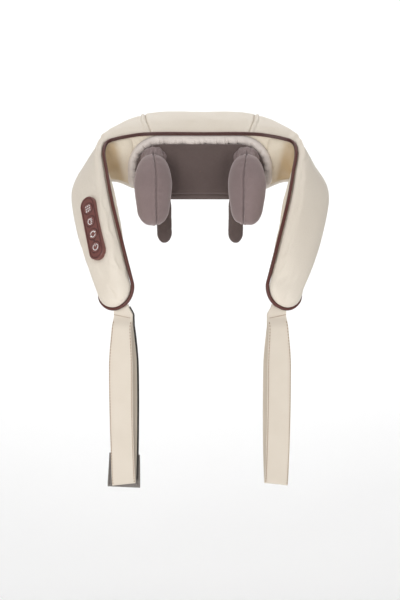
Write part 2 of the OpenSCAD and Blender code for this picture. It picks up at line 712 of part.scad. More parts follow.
// A layer on the back of a loop, from depth t0 to t1, between two of the loop's steps.
module back_layer(from, to, t0, t1, width) {
    ss = [for (i = [from:to]) loop_steps[i]];
    tab_place() web(width) polygon(concat(
        [for (s = ss) [half_gap(s) + t1, -s * loop_len]],
        [for (i = [len(ss) - 1:-1:0]) [half_gap(ss[i]) + t0, -ss[i] * loop_len]]
    ));
}
module strap_loop_right() color(webbing_cream) strap_loop();
module strap_loop_left() color(webbing_cream) mirror([1, 0, 0]) strap_loop();
module strap_lining_left() color(lining_grey) mirror([1, 0, 0])
    back_layer(3, 39, web_t + 0.1, web_t + 1.3, strap_w);
module hook_patch() color([0.38, 0.36, 0.35]) mirror([1, 0, 0])
    back_layer(32, 40, web_t + 1.4, web_t + 3.2, 48);

outer_cover_center();
outer_cover_left();
outer_cover_right();
liner_left();
liner_right();
piping();
gathered_rim();
knead_cover();
nape_pad();
heater_film();
back_foam();
arm_foam_left();
arm_foam_right();
arm_stay_left();
arm_stay_right();
rear_housing();
front_plate();
housing_screws();
usb_port();
gearbox_left();
gearbox_right();
gearbox_screws();
shaft_bushing_left();
shaft_bushing_right();
motor_can();
motor_cap();
motor_shaft();
worm();
main_shaft();
worm_wheel();
hub_left();
hub_right();
hub_screws();
claw_left();
claw_right();
claw_bushing_left();
claw_bushing_right();
kneading_head_left();
kneading_head_right();
finger_pad_left();
finger_pad_right();
battery_left();
battery_right();
control_board();
panel_bezel();
button_board();
button_heat();
button_direction();
button_mode();
button_power();
strap_tab_left();
strap_tab_right();
strap_loop_left();
strap_loop_right();
strap_lining_left();
hook_patch();
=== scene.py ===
"""Looks of the shiatsu neck massager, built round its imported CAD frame. Metres, +Z up, -Y towards the wearer.
Shapes are worked out in mm, as in the CAD, and become metres where a mesh is made. A term of a rise is a height in
mm, times how it fades over a distance in mm from a seam or an edge, or along the body in stations."""
import json
import math

import bmesh
import bpy
import numpy as np
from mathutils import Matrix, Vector, noise


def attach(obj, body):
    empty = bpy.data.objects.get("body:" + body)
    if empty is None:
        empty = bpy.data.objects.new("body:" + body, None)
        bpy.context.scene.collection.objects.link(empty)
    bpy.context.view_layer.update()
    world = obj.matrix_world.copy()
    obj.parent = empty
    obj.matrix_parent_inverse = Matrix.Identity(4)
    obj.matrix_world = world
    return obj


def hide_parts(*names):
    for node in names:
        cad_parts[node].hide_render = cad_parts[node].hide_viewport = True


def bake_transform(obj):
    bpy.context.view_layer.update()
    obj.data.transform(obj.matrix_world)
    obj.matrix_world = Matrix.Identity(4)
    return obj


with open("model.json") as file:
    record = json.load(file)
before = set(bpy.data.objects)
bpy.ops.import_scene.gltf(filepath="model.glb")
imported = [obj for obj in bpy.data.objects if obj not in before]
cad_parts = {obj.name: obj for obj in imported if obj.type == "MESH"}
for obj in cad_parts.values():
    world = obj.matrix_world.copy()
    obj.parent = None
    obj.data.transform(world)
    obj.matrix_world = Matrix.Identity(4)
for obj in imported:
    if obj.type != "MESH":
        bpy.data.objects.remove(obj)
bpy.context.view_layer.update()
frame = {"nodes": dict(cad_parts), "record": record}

MM = 0.001
ROOT = "collar"
FLIP = np.array([-1.0, 1.0, 1.0])

# ---------------------------------------------------------------- mesh helpers


def new_mesh(name, points, faces, material, smooth=True):
    """A mesh object in the row frame, from points in metres."""
    mesh = bpy.data.meshes.new(name)
    mesh.from_pydata([tuple(map(float, p)) for p in points], [], [tuple(f) for f in faces])
    mesh.validate()
    mesh.materials.append(material)
    for p in mesh.polygons:
        p.use_smooth = smooth
    obj = bpy.data.objects.new(name, mesh)
    bpy.context.scene.collection.objects.link(obj)
    return obj


def read_vectors(items, key):
    values = np.zeros(len(items) * 3)
    items.foreach_get(key, values)
    return values.reshape(-1, 3)


def points_of(obj):
    return read_vectors(obj.data.vertices, "co")


def normals_of(obj):
    return read_vectors(obj.data.vertex_normals, "vector")


def set_shade(obj, values):
    """The point values that a material's painted shade colour reads."""
    obj.data.attributes.new("shade", "FLOAT", "POINT").data.foreach_set("value", np.ravel(values).astype(np.float32))


def set_points(obj, co):
    obj.data.vertices.foreach_set("co", np.asarray(co, float).ravel())
    obj.data.update()


def grid_faces(rows, cols, wrap=False, flip=False, first=0):
    """Quads over a grid of rows x cols points that starts at point first; wrap closes each row."""
    faces = []
    for i in range(rows - 1):
        for j in range(cols if wrap else cols - 1):
            a, b = first + i * cols + j, first + i * cols + (j + 1) % cols
            f = (a, b, b + cols, a + cols)
            faces.append(f[::-1] if flip else f)
    return faces


def end_faces(rows, cols, first=0):
    """The two faces that close the ends of a wrapped grid."""
    last = first + (rows - 1) * cols
    return [tuple(range(first + cols - 1, first - 1, -1)), tuple(range(last, last + cols))]


def tip_faces(rows, cols, tip):
    """Triangles from a wrapped grid's last row to a point."""
    base = (rows - 1) * cols
    return [(base + j, base + (j + 1) % cols, tip) for j in range(cols)]


def face_outwards(obj):
    b = bmesh.new()
    b.from_mesh(obj.data)
    bmesh.ops.recalc_face_normals(b, faces=b.faces)
    b.to_mesh(obj.data)
    b.free()
    obj.data.update()
    return obj


def use_modifier(obj, kind, **settings):
    """Adds a modifier and applies it."""
    m = obj.modifiers.new(kind.title(), kind)
    for key, value in settings.items():
        setattr(m, key, value)
    bpy.context.view_layer.objects.active = obj
    bpy.ops.object.modifier_apply(modifier=m.name)
    return obj


def shell(obj, thickness, offset=-1):
    """Smooths a skin and gives it a thickness in mm."""
    use_modifier(obj, "SUBSURF", levels=1)
    return use_modifier(obj, "SOLIDIFY", thickness=thickness * MM, offset=offset)


def place(obj, body_name, slot, *nodes):
    """Puts a piece on its body and lets it stand for CAD nodes, whose own meshes it hides; slot is not used."""
    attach(obj, body_name)
    if nodes:
        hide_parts(*nodes)
    return obj


def place_padded(obj, body_name, slot, fill, *nodes):
    place(obj, body_name, slot)
    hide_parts(*nodes)


def join(name, parts):
    """One object from several; it keeps each part's material."""
    bpy.ops.object.select_all(action="DESELECT")
    for p in parts:
        p.select_set(True)
    bpy.context.view_layer.objects.active = parts[0]
    bpy.ops.object.join()
    parts[0].name = name
    return parts[0]


def smooth(t):
    t = np.clip(t, 0, 1)
    return t * t * (3 - 2 * t)


def bump(d, width):
    return np.exp(-(d / width) ** 2)


def unit(v):
    return v / max(np.linalg.norm(v), 1e-12)


def squarer(v, power):
    """A sine or cosine with its curve's corners pushed out, for a power under 1."""
    return math.copysign(abs(v) ** power, v)


def curve(a, b, c, d, t):
    """A Catmull-Rom curve from b to c."""
    return 0.5 * (2 * b + (c - a) * t + (2 * a - 5 * b + 4 * c - d) * t * t + (3 * b - a - 3 * c + d) * t ** 3)


def tip_angles(angles):
    """How far each angle in degrees goes into a rounded end of length 1."""
    return [math.sin(math.radians(a)) for a in angles]


def turns(count):
    """Angles that go once round."""
    return np.linspace(0, 2 * math.pi, count + 1)[:-1]


def circle(r, count, x=0.0, y=0.0):
    return [(x + r * math.cos(a), y + r * math.sin(a)) for a in turns(count)]


def mirror(points, side):
    """Points of the right side, or their mirror image for side -1."""
    return points * FLIP if side < 0 else points


def lengths(points):
    """Running length along a line of points."""
    return np.concatenate([[0], np.cumsum(np.linalg.norm(np.diff(points, axis=0), axis=1))])


def resample(points, at, s):
    """The line's points at the running lengths at."""
    return np.stack([np.interp(at, s, points[:, k]) for k in range(points.shape[1])], 1)


def path_frame(path):
    """A flat path's points, normals and running length, from the first two numbers of each point."""
    c = np.array([p[:2] for p in path], float)
    t = np.gradient(c, axis=0)
    t /= np.maximum(np.linalg.norm(t, axis=1, keepdims=True), 1e-9)
    return c, np.stack([t[:, 1], -t[:, 0]], 1), lengths(c)


def noise_at(points, scale, seed):
    """Smooth noise from about -1 to 1 at each point; scale is in features per metre."""
    shift = Vector((seed * 7.31, seed * 3.17, seed * 5.93))
    return np.array([noise.noise(Vector(p) * scale + shift) for p in points])


SIDEWAYS = 1.5  # the most that cloth may slide along its surface, in mm


def inflate(obj, pins, pressure, shrink, frames, out, inside, bend):
    """Cloth that is held along its pins and swells, as fabric over a filling, by at most out mm
    outwards and inside mm inwards. The result is applied."""
    start, normals = points_of(obj), normals_of(obj)
    group = obj.vertex_groups.new(name="pins")
    group.add([int(i) for i in pins], 1.0, "REPLACE")
    m = obj.modifiers.new("Cloth", "CLOTH")
    s = m.settings
    s.quality = 6
    s.mass = 0.25
    s.tension_stiffness = s.compression_stiffness = 18
    s.shear_stiffness = 6
    s.bending_stiffness = bend
    s.tension_damping = s.compression_damping = 8
    s.use_pressure = True
    s.uniform_pressure_force = pressure
    s.shrink_min = s.shrink_max = -shrink
    s.vertex_group_mass = "pins"
    s.effector_weights.gravity = 0
    m.collision_settings.use_collision = False
    m.point_cache.frame_start, m.point_cache.frame_end = 1, frames
    scene = bpy.context.scene
    for f in range(1, frames + 1):
        scene.frame_set(f)
    evaluated = obj.evaluated_get(bpy.context.evaluated_depsgraph_get())
    moved = read_vectors(evaluated.data.vertices, "co") - start
    obj.modifiers.remove(m)
    obj.vertex_groups.remove(group)
    scene.frame_set(1)
    swell = (moved * normals).sum(1, keepdims=True)
    slide = moved - swell * normals
    size = np.linalg.norm(slide, axis=1, keepdims=True)
    slide *= np.minimum(1, SIDEWAYS * MM / np.maximum(size, 1e-9))
    set_points(obj, start + np.clip(swell, -inside * MM, out * MM) * normals + slide)


# ---------------------------------------------------------------- materials


class Nodes:
    """Builds one procedural material's node tree."""

    def __init__(self, name, colour, roughness, **shader):
        self.material = bpy.data.materials.new(name)
        self.material.use_nodes = True
        self.tree = self.material.node_tree
        self.shader = self.tree.nodes["Principled BSDF"]
        self.shader.inputs["Base Color"].default_value = (*colour, 1)
        self.shader.inputs["Roughness"].default_value = roughness
        for key, value in shader.items():
            self.shader.inputs[key.replace("_", " ")].default_value = value
        self.colour = colour
        self.place = self.node("ShaderNodeTexCoord").outputs["Object"]
        self.last_normal = None

    def node(self, kind, **inputs):
        n = self.tree.nodes.new(kind)
        for key, value in inputs.items():
            self.put(n.inputs[key.replace("_", " ")], value)
        return n

    def put(self, socket, value):
        if isinstance(value, bpy.types.NodeSocket):
            self.tree.links.new(value, socket)
        else:
            socket.default_value = value

    def noise(self, scale, detail=3.0):
        return self.node("ShaderNodeTexNoise", Vector=self.place, Scale=scale, Detail=detail).outputs["Fac"]

    def cells(self, scale, feature="F1"):
        n = self.node("ShaderNodeTexVoronoi", Vector=self.place, Scale=scale)
        n.feature = feature
        return n.outputs["Distance"]

    def weave(self, across, along):
        """Crossed threads with these periods in metres, on the UV map of a ribbon."""
        uv = self.node("ShaderNodeUVMap")
        uv.uv_map = "flat"
        product = self.node("ShaderNodeMath")
        product.operation = "MULTIPLY"
        for k, (period, direction) in enumerate(((across, "X"), (along, "Y"))):
            n = self.node("ShaderNodeTexWave", Vector=uv.outputs["UV"], Scale=2 * math.pi / (20 * period))
            n.bands_direction = direction
            self.put(product.inputs[k], n.outputs["Fac"])
        return product.outputs[0]

    def ramp(self, value, low, high, dark, light):
        """Maps value from low..high to dark..light."""
        n = self.node("ShaderNodeMapRange", Value=value)
        for key, v in (("From Min", low), ("From Max", high), ("To Min", dark), ("To Max", light)):
            n.inputs[key].default_value = v
        return n.outputs[0]

    def tint(self, factor, colour_b):
        """Mixes the base colour towards colour_b."""
        n = self.node("ShaderNodeMix")
        n.data_type = "RGBA"
        self.put(n.inputs[0], factor)
        previous = self.shader.inputs["Base Color"]
        self.put(n.inputs[6], previous.links[0].from_socket if previous.is_linked else (*self.colour, 1))
        n.inputs[7].default_value = (*colour_b, 1)
        self.put(previous, n.outputs[2])

    def mottle(self, scale, amount, colour_b, low=0.35, high=0.7, detail=3):
        """Patches of another colour, scale of them to the metre."""
        self.tint(self.ramp(self.noise(scale, detail), low, high, 0, amount), colour_b)

    def painted_shade(self, colour):
        """Painted shade: another colour where a mesh has a "shade" value."""
        amount = self.node("ShaderNodeAttribute")
        amount.attribute_name = "shade"
        self.tint(amount.outputs["Fac"], colour)

    def relief(self, height, strength, distance):
        n = self.node("ShaderNodeBump", Strength=strength, Distance=distance, Height=height)
        if self.last_normal is not None:
            self.put(n.inputs["Normal"], self.last_normal)
        self.last_normal = n.outputs["Normal"]
        self.put(self.shader.inputs["Normal"], self.last_normal)

    def uneven_roughness(self, scale, low, high):
        self.put(self.shader.inputs["Roughness"], self.ramp(self.noise(scale, 4), 0.3, 0.7, low, high))


def scaled(colour, k):
    return tuple(min(1.0, c * k) for c in colour)


def leather(name, colour, shade, roughness=0.46, grain=1100, painted_shade=None):
    m = Nodes(name, colour, roughness, Specular_IOR_Level=0.38, Sheen_Weight=0.12, Sheen_Roughness=0.4)
    # Painted shade where the mesh has a shade value.
    if painted_shade:
        m.painted_shade(painted_shade)
    m.mottle(16, 0.5, shade, high=0.75, detail=2)
    m.tint(m.ramp(m.cells(grain), 0.0, 0.55, 0.35, 0), scaled(shade, 0.8))
    m.uneven_roughness(60, roughness - 0.05, roughness + 0.09)
    m.relief(m.noise(95), 0.10, 0.0012)
    m.relief(m.cells(grain), 0.30, 0.00022)
    m.relief(m.noise(2600, 2), 0.12, 0.0001)
    return m.material


def suede_material(name, colour, shade):
    m = Nodes(name, colour, 0.92, Specular_IOR_Level=0.15, Sheen_Weight=0.55, Sheen_Roughness=0.5)
    m.shader.inputs["Sheen Tint"].default_value = (0.95, 0.85, 0.84, 1)
    # Painted shade: the heads' seams, inner halves and neck tucks darken to this colour.
    m.painted_shade(scaled(colour, 0.30))
    m.mottle(38, 0.55, shade)
    m.mottle(900, 0.35, scaled(shade, 0.85), low=0.3, detail=2)
    m.relief(m.noise(140), 0.12, 0.0008)
    m.relief(m.noise(2200), 0.35, 0.0002)
    return m.material


def satin_material(name, colour, shade):
    m = Nodes(name, colour, 0.5, Specular_IOR_Level=0.4, Sheen_Weight=0.35, Sheen_Roughness=0.35)
    m.mottle(70, 0.5, shade)
    m.relief(m.noise(420), 0.25, 0.0004)
    m.relief(m.noise(2600, 2), 0.25, 0.00012)
    return m.material


def webbing_material(name, colour, shade, period=1.5):
    m = Nodes(name, colour, 0.78, Specular_IOR_Level=0.2, Sheen_Weight=0.25)
    weave = m.weave(period * MM, period * 0.8 * MM)
    m.mottle(30, 0.5, shade, low=0.3)
    m.tint(m.ramp(weave, 0.0, 0.5, 0.30, 0.0), scaled(shade, 0.8))
    m.relief(weave, 0.35, 0.00018)
    m.relief(m.noise(1700, 2), 0.2, 0.0001)
    return m.material


def hook_material(name, colour, shade):
    m = Nodes(name, colour, 0.95, Specular_IOR_Level=0.15, Sheen_Weight=0.3)
    loops = m.cells(900, "SMOOTH_F1")
    m.tint(m.ramp(loops, 0.1, 0.5, 0.6, 0), scaled(shade, 0.6))
    m.mottle(60, 0.4, shade)
    m.relief(loops, 0.8, 0.0006)
    return m.material


def plastic(name, colour, roughness, grain=1500, depth=0.00006, coat=0.0, metallic=0.0):
    m = Nodes(name, colour, roughness, Coat_Weight=coat, Metallic=metallic)
    m.mottle(45, 0.35, scaled(colour, 0.82))
    m.uneven_roughness(120, roughness - 0.05, roughness + 0.08)
    m.relief(m.noise(grain, 2), 0.3, depth)
    return m.material


def foam_material(name, colour):
    m = Nodes(name, colour, 0.9, Specular_IOR_Level=0.2)
    m.tint(m.ramp(m.cells(700), 0.0, 0.5, 0.5, 0), scaled(colour, 0.75))
    m.relief(m.cells(700), 0.6, 0.0005)
    return m.material


cream = leather("cream_leather", (0.755, 0.685, 0.590), (0.700, 0.620, 0.520))
# The liner's tint colour is painted shade: a khaki brown for its hollows.
liner_mat = leather("liner_leather", (0.760, 0.680, 0.560), (0.690, 0.600, 0.460), 0.5, painted_shade=(0.42, 0.255, 0.085))
# The piping's near-black tint is painted shade for its sewn groove.
piping_mat = leather("piping_leather", (0.110, 0.035, 0.028), (0.080, 0.025, 0.020), 0.36, 1600,
                     painted_shade=(0.020, 0.006, 0.005))
suede = suede_material("suede", (0.250, 0.190, 0.186), (0.205, 0.152, 0.149))
suede_dark = suede_material("suede_panel", (0.118, 0.087, 0.080), (0.095, 0.069, 0.064))
satin = satin_material("gathered_satin", (0.70, 0.63, 0.58), (0.54, 0.48, 0.45))
webbing = webbing_material("cream_webbing", (0.740, 0.665, 0.570), (0.68, 0.60, 0.50))
lining = webbing_material("grey_lining", (0.050, 0.043, 0.040), (0.036, 0.031, 0.029), 1.0)
hooks = hook_material("hook_patch", (0.215, 0.195, 0.180), (0.165, 0.150, 0.138))
thread = plastic("thread", (0.350, 0.215, 0.135), 0.6, 3000, 0.0001)
dark_thread = plastic("suede_thread", (0.085, 0.062, 0.058), 0.7, 3000, 0.0001)
panel_mat = plastic("panel_brown", (0.175, 0.062, 0.052), 0.38, 1900, 0.00005, coat=0.15)
key_mat = plastic("key_brown", (0.190, 0.070, 0.060), 0.34, 1900, 0.00004, coat=0.2)
# Painted shade: a dark brown for beads that stand for the shaded groove inside the bezel and the gaps round the keys.
groove_shade_mat = plastic("panel_groove_shade", (0.085, 0.028, 0.024), 0.45, 1900, 0.00005)
icon_mat = plastic("icon_white", (0.86, 0.85, 0.83), 0.45, 2500, 0.00002)
CAD_LOOKS = {
    "foam": foam_material("foam", (0.80, 0.78, 0.70)),
    "black_plastic": plastic("black_plastic", (0.022, 0.022, 0.024), 0.5),
    "grey_plastic": plastic("grey_plastic", (0.10, 0.105, 0.11), 0.48),
    "white_acetal": plastic("white_acetal", (0.75, 0.75, 0.71), 0.35),
    "steel": plastic("steel", (0.55, 0.55, 0.56), 0.28, 2400, 0.00003, metallic=1.0),
    "brass": plastic("brass", (0.72, 0.52, 0.22), 0.33, 2000, 0.00004, metallic=1.0),
    "cast_alloy": plastic("cast_alloy", (0.62, 0.62, 0.64), 0.42, 1300, 0.0001, metallic=1.0),
    "battery_sleeve": plastic("battery_sleeve", (0.03, 0.12, 0.38), 0.25, coat=0.4),
    "circuit_board": plastic("circuit_board", (0.015, 0.12, 0.045), 0.3, coat=0.5),
    "heater": plastic("heater_film", (0.50, 0.27, 0.08), 0.35),
    "panel_brown": panel_mat,
    "cream_leather": cream, "liner_leather": liner_mat, "brown_piping": piping_mat,
    "cream_gathered": satin, "suede": suede, "webbing": webbing, "grey_lining": lining, "hook_grey": hooks,
}
for part in frame["record"]["subparts"]:
    data = frame["nodes"][part["node"]].data
    data.materials.clear()
    data.materials.append(CAD_LOOKS[part["material_slot"]])

# ---------------------------------------------------------------- the padded body's surface
# The same stations as the CAD, in mm: [neck-side edge, outer edge, thickness, slope of the section,
# thinning towards the neck side].
STATIONS = [
    [(0, 34, 72), (0, 50, -36), 72, 0.34, 0],
    [(60, 33, 72), (60, 49, -37), 70, 0.34, 0],
    [(102, 27, 65), (98, 45, -26), 58, 0.26, 0.12],
    [(140, 6, 52), (130, 38, -18), 40, 0.12, 0.85],
    [(148, -22, 33), (162, 16, -20), 34, 0, 0.85],
    [(138.5, -54, 3), (176.5, -26, -40), 32, 0, 0.6],
    [(126, -90, -40), (168.5, -68, -80), 30, 0, 0.2],
    [(111, -122, -90), (153, -104, -124), 28, 0, 0],
    [(97, -142, -138), (138, -130, -164), 26, 0, 0],
]
LAST = len(STATIONS) - 1
SEAM_U, FOAM_U, PIPING_END_U = 1.35, 1.95, 4.2
ARM_TIP = 26.0  # length of an arm's rounded end past the last station
SEAM_STEP = 0.028  # between the close rows beside a seam


def station(k, f):
    if k < 0:
        v = np.array(STATIONS[1][f], float)
        return v * FLIP if v.ndim else v
    if k > LAST:
        return 2 * np.array(STATIONS[LAST][f], float) - np.array(STATIONS[LAST - 1][f], float)
    return np.array(STATIONS[k][f], float)


def along(u, f):
    """Field f of the stations at a place u along the body."""
    k = int(min(max(math.floor(u), 0), LAST - 1))
    return curve(*(station(k + i, f) for i in (-1, 0, 1, 2)), u - k)


def middle(u):
    if u < 0:
        return middle(-u) * FLIP
    return (along(u, 0) + along(u, 1)) / 2


section_cache = {}


def section(u):
    """The middle, axes, width and thickness of the body's section at u."""
    key = round(u, 5)
    if key not in section_cache:
        s = min(u, LAST)
        across = unit(along(s, 0) - along(s, 1))
        rough = unit(middle(min(s + 0.02, LAST)) - middle(s - 0.02))
        out = unit(np.cross(across, rough))
        forward = np.cross(out, across)
        section_cache[key] = (middle(s), across, out + across * along(s, 3), forward,
                              np.linalg.norm(along(s, 0) - along(s, 1)), float(along(s, 2)))
    return section_cache[key]


def body(u, angle, off=0.0):
    """A point in mm on the body, off mm under its surface."""
    if u < 0:
        return body(-u, angle, off) * FLIP
    mid, across, out, forward, width, thick = section(u)
    power = 2 / (3.2 - 0.6 * min(1, u / LAST))
    past = min(max(u - LAST, 0), 1)
    shrink = (1 - past ** 3) ** (1 / 3)
    c, s = math.cos(math.radians(angle)), math.sin(math.radians(angle))
    tip = 1.85 if c > 0 else 2.1
    narrow = (1 - past ** tip) ** (1 / tip)
    c, s = squarer(c, power), squarer(s, power)
    thin = along(min(u, LAST), 4) * (1 + c) / 2 if s > 0 else 0
    return (mid + forward * past * (ARM_TIP - off)
            + across * (width / 2 - off) * c * narrow
            + out * (thick / 2 * (1 - thin) - off) * s * shrink)


def even_angles(u, first, last, count):
    """Angles between first and last whose points are evenly spaced round the section."""
    fine = np.linspace(first, last, 161)
    s = lengths(np.array([body(u, a) for a in fine]))
    return np.interp(np.linspace(0, s[-1], count), s, fine)


def edge_in(u):
    """The angle of the neck-side seam, which turns towards the front down the arms."""
    return float(np.interp(abs(u), (2.7, 3.5, 4, 4.5, 5, 5.5, 6), (-40, -35, -30, -26, -20, -14, -10)))


def edge_out(u):
    """The angle of the outer seam, which comes round to the front at an arm's end."""
    return 220 - 35 * float(smooth((abs(u) - 7.3) / 0.9))


def seam_lean(u, angle):
    """How far the back's seams lean: inwards at the piping and outwards over the top."""
    lean = np.interp(angle, (-40, 0, 220), (-0.10, 0.06, 0.06)) * math.exp(-((abs(u) - SEAM_U) / 0.7) ** 2)
    return lean if u > 0 else -lean


def grid_normals(g):
    n = np.cross(np.gradient(g, axis=0), np.gradient(g, axis=1))
    return n / np.maximum(np.linalg.norm(n, axis=2, keepdims=True), 1e-12)


def run_length(g, axis):
    """Distance in mm from the first point along an axis of a grid."""
    step = np.linalg.norm(np.diff(g, axis=axis), axis=2)
    zero = np.zeros_like(np.take(step, [0], axis=axis))
    return np.concatenate([zero, np.cumsum(step, axis=axis)], axis=axis) / MM


def border(rows, cols):
    where = np.arange(rows * cols).reshape(rows, cols)
    return set(where[:, 0]) | set(where[:, -1]) | set(where[0]) | set(where[-1])


class Skin:
    """A grid of points on the body between two seams; sides(u) gives the seams' angles. It has
    outward normals, faces that look outwards and the distances in mm along and across it."""

    def __init__(self, us, sides, cols, side):
        rows = []
        for u in us:
            angles = even_angles(min(abs(u), LAST), *sides(u), cols)
            rows.append([body(u + seam_lean(u, a), a) * MM for a in angles])
        self.grid = mirror(np.array(rows), side)
        self.shape = (len(us), cols)
        self.u = np.array(us)[:, None]
        self.points = self.grid.reshape(-1, 3)
        self.normals = grid_normals(self.grid)
        inner = np.array([mirror(middle(u) * MM, side) for u in us])
        if ((self.grid - inner[:, None]) * self.normals).sum() < 0:
            self.normals = -self.normals
        self.faces = grid_faces(*self.shape)
        f = self.faces[len(self.faces) // 2]
        a, b, c = self.points[list(f[:3])]
        if np.dot(np.cross(b - a, c - a), self.normals.reshape(-1, 3)[f[0]]) < 0:
            self.faces = [f[::-1] for f in self.faces]
        self.along, self.across = run_length(self.grid, 0), run_length(self.grid, 1)
        self.left = self.across[:, -1:] - self.across
        self.edge = np.minimum(self.across, self.left)

    def noise(self, scale, seed):
        return noise_at(self.points, scale, seed).reshape(self.shape)

    def moved(self, rise):
        return (self.grid + self.normals * rise[..., None] * MM).reshape(-1, 3)


# ---------------------------------------------------------------- outer covers
PANEL_U, PANEL_ANGLE, PANEL_TURN, PANEL_SINK = 6.38, 88.5, -3.5, 0.6
PANEL_LEN, PANEL_W, BUTTON_PITCH, BEZEL_TOP = 98, 26, 20.5, 1.6
SLOT_X, SLOT_Y, SLOT_HALF, SLOT_TOP = 57, 19.3, (15.5, 11.8), -20  # where the fingers pass the cover
COVER_T, LINER_T = 1.4, 0.9


def panel_frame():
    """Origin and axes [across, up the arm, outwards] of the control panel on the left arm."""
    du = body(PANEL_U + 0.7, PANEL_ANGLE) - body(PANEL_U - 0.7, PANEL_ANGLE)
    da = body(PANEL_U, PANEL_ANGLE + 10) - body(PANEL_U, PANEL_ANGLE - 10)
    n = unit(np.cross(du, da)) * FLIP
    side = unit(np.cross(-du * FLIP, n))
    turn = math.radians(PANEL_TURN)
    across = side * math.cos(turn) + np.cross(n, side) * math.sin(turn)
    return body(PANEL_U, PANEL_ANGLE, PANEL_SINK) * FLIP, across, np.cross(n, across), n


P_O, P_X, P_Y, P_Z = panel_frame()


def on_panel(x, y, z):
    """A point in metres from panel coordinates in mm."""
    return (P_O + P_X * x + P_Y * y + P_Z * z) * MM


def capsule_distance(x, y, length, width):
    """Distance in mm outside a capsule outline, negative inside."""
    r = width / 2
    yy = np.clip(y, -(length / 2 - r), length / 2 - r)
    return np.hypot(x, y - yy) - r


def cover(name, node, us, side=1, back=False, panel=False):
    """An outer cover: a skin between the two runs of piping, tucked in at its seams. The back has
    a flat seam at both ends, and an arm a top-stitched rib where it starts."""
    skin = Skin(us, lambda u: (edge_in(u), edge_out(u)), 66, side)
    u, edge, to_in, to_out = skin.u, skin.edge, skin.across, skin.left
    wob = skin.noise(60, 4)
    # Broad soft creases, then gathers and a tuck beside the piping.
    ripple = np.sin(skin.along / 8.5 * 2 * math.pi + 2.5 * wob) * (0.45 + 0.55 * skin.noise(24, 6))
    creases = noise_at(skin.points * np.array([1.0, 0.6, 1.0]), 22, 1).reshape(skin.shape)
    rise = 0.55 * (0.75 * creases + 0.25 * skin.noise(55, 2))
    rise += 0.40 * ripple * np.exp(-edge / 7) * smooth(edge / 2.5)
    rise += 0.5 * bump(edge - 5.5, 3.0) - 1.7 * np.exp(-edge / 1.6)
    # The seams.
    for d in (skin.along, skin.along[-1:, :] - skin.along) if back else (skin.along,):
        rise -= 1.5 * np.exp(-d / 1.2)
        rise += 0.35 * bump(d - 3.5, 2.5) if back else 1.5 * bump(d - 4.0, 2.2) - 0.9 * bump(d - 8.4, 1.3)
    # The back and the tops of the arms are full, and the shoulder is a little lower.
    mid_way = 4 * to_in * to_out / np.maximum((to_in + to_out) ** 2, 1e-3)
    rise += 3.2 * mid_way * (1 - smooth((np.abs(u) - 1.6) / 1.6))
    rise -= 1.8 * bump(u - 3.5, 0.42) * bump(to_in - 13, 10)
    # The bend over the shoulder carries a few long creases from the neck-side edge outwards.
    rise += 0.9 * bump(u - 3.1, 0.75) * np.exp(-to_in / 38) * np.sin(u * 13 + 1.2 * wob)
    pins = border(*skin.shape)
    if panel:
        # A flat bed round the control panel, deeper under its bezel so that the keys can travel.
        q = skin.points / MM - P_O
        d = capsule_distance(q @ P_X, q @ P_Y, PANEL_LEN, PANEL_W)
        near = (np.abs(q @ P_Z) < 15).astype(float)
        press = near * (-1.4 * smooth((3.5 - d) / 4) - 3.5 * smooth((-1.0 - d) / 2) + 0.5 * bump(d - 6, 3))
        flat = near * smooth((6 - d) / 8)
        rise = rise * (1 - flat.reshape(skin.shape)) + press.reshape(skin.shape)
        pins |= set(np.nonzero(near * (d < 5))[0])
    points = skin.moved(rise)
    x, y, z = (points / MM)[np.array(skin.faces)].mean(1).T
    slot = (np.abs(np.abs(x) - SLOT_X) < SLOT_HALF[0]) & (np.abs(y - SLOT_Y) < SLOT_HALF[1]) & (z < SLOT_TOP)
    faces = [f for f, hole in zip(skin.faces, slot) if not hole]
    pins |= set(range(len(points))) - {i for f in faces for i in f}
    obj = new_mesh(name, points, faces, cream)
    inflate(obj, pins, pressure=2.5, shrink=0.012, frames=14, out=2.2, inside=0.8, bend=2.0)
    place_padded(shell(obj, COVER_T), ROOT, "cream_leather", 0.85, node)


END_US = [LAST + t for t in tip_angles((9, 18, 27, 36, 45, 54, 62, 69, 75, 80, 84, 87, 89))]
near_seam = [SEAM_U + k * SEAM_STEP for k in range(9)]
down_arm = np.linspace(near_seam[-1] + 0.04, LAST - 0.02, int((LAST - 0.02 - near_seam[-1]) / 0.085))
arm_us = near_seam + list(down_arm) + END_US
half_back = [SEAM_U - k * SEAM_STEP for k in range(9)] + list(np.linspace(SEAM_U - 0.28, 0, 14))
back_us = [-u for u in half_back] + half_back[::-1][1:]
cover("cover_center", "outer_cover_center", back_us, back=True)
cover("cover_right", "outer_cover_right", arm_us)
cover("cover_left", "outer_cover_left", arm_us, side=-1, panel=True)


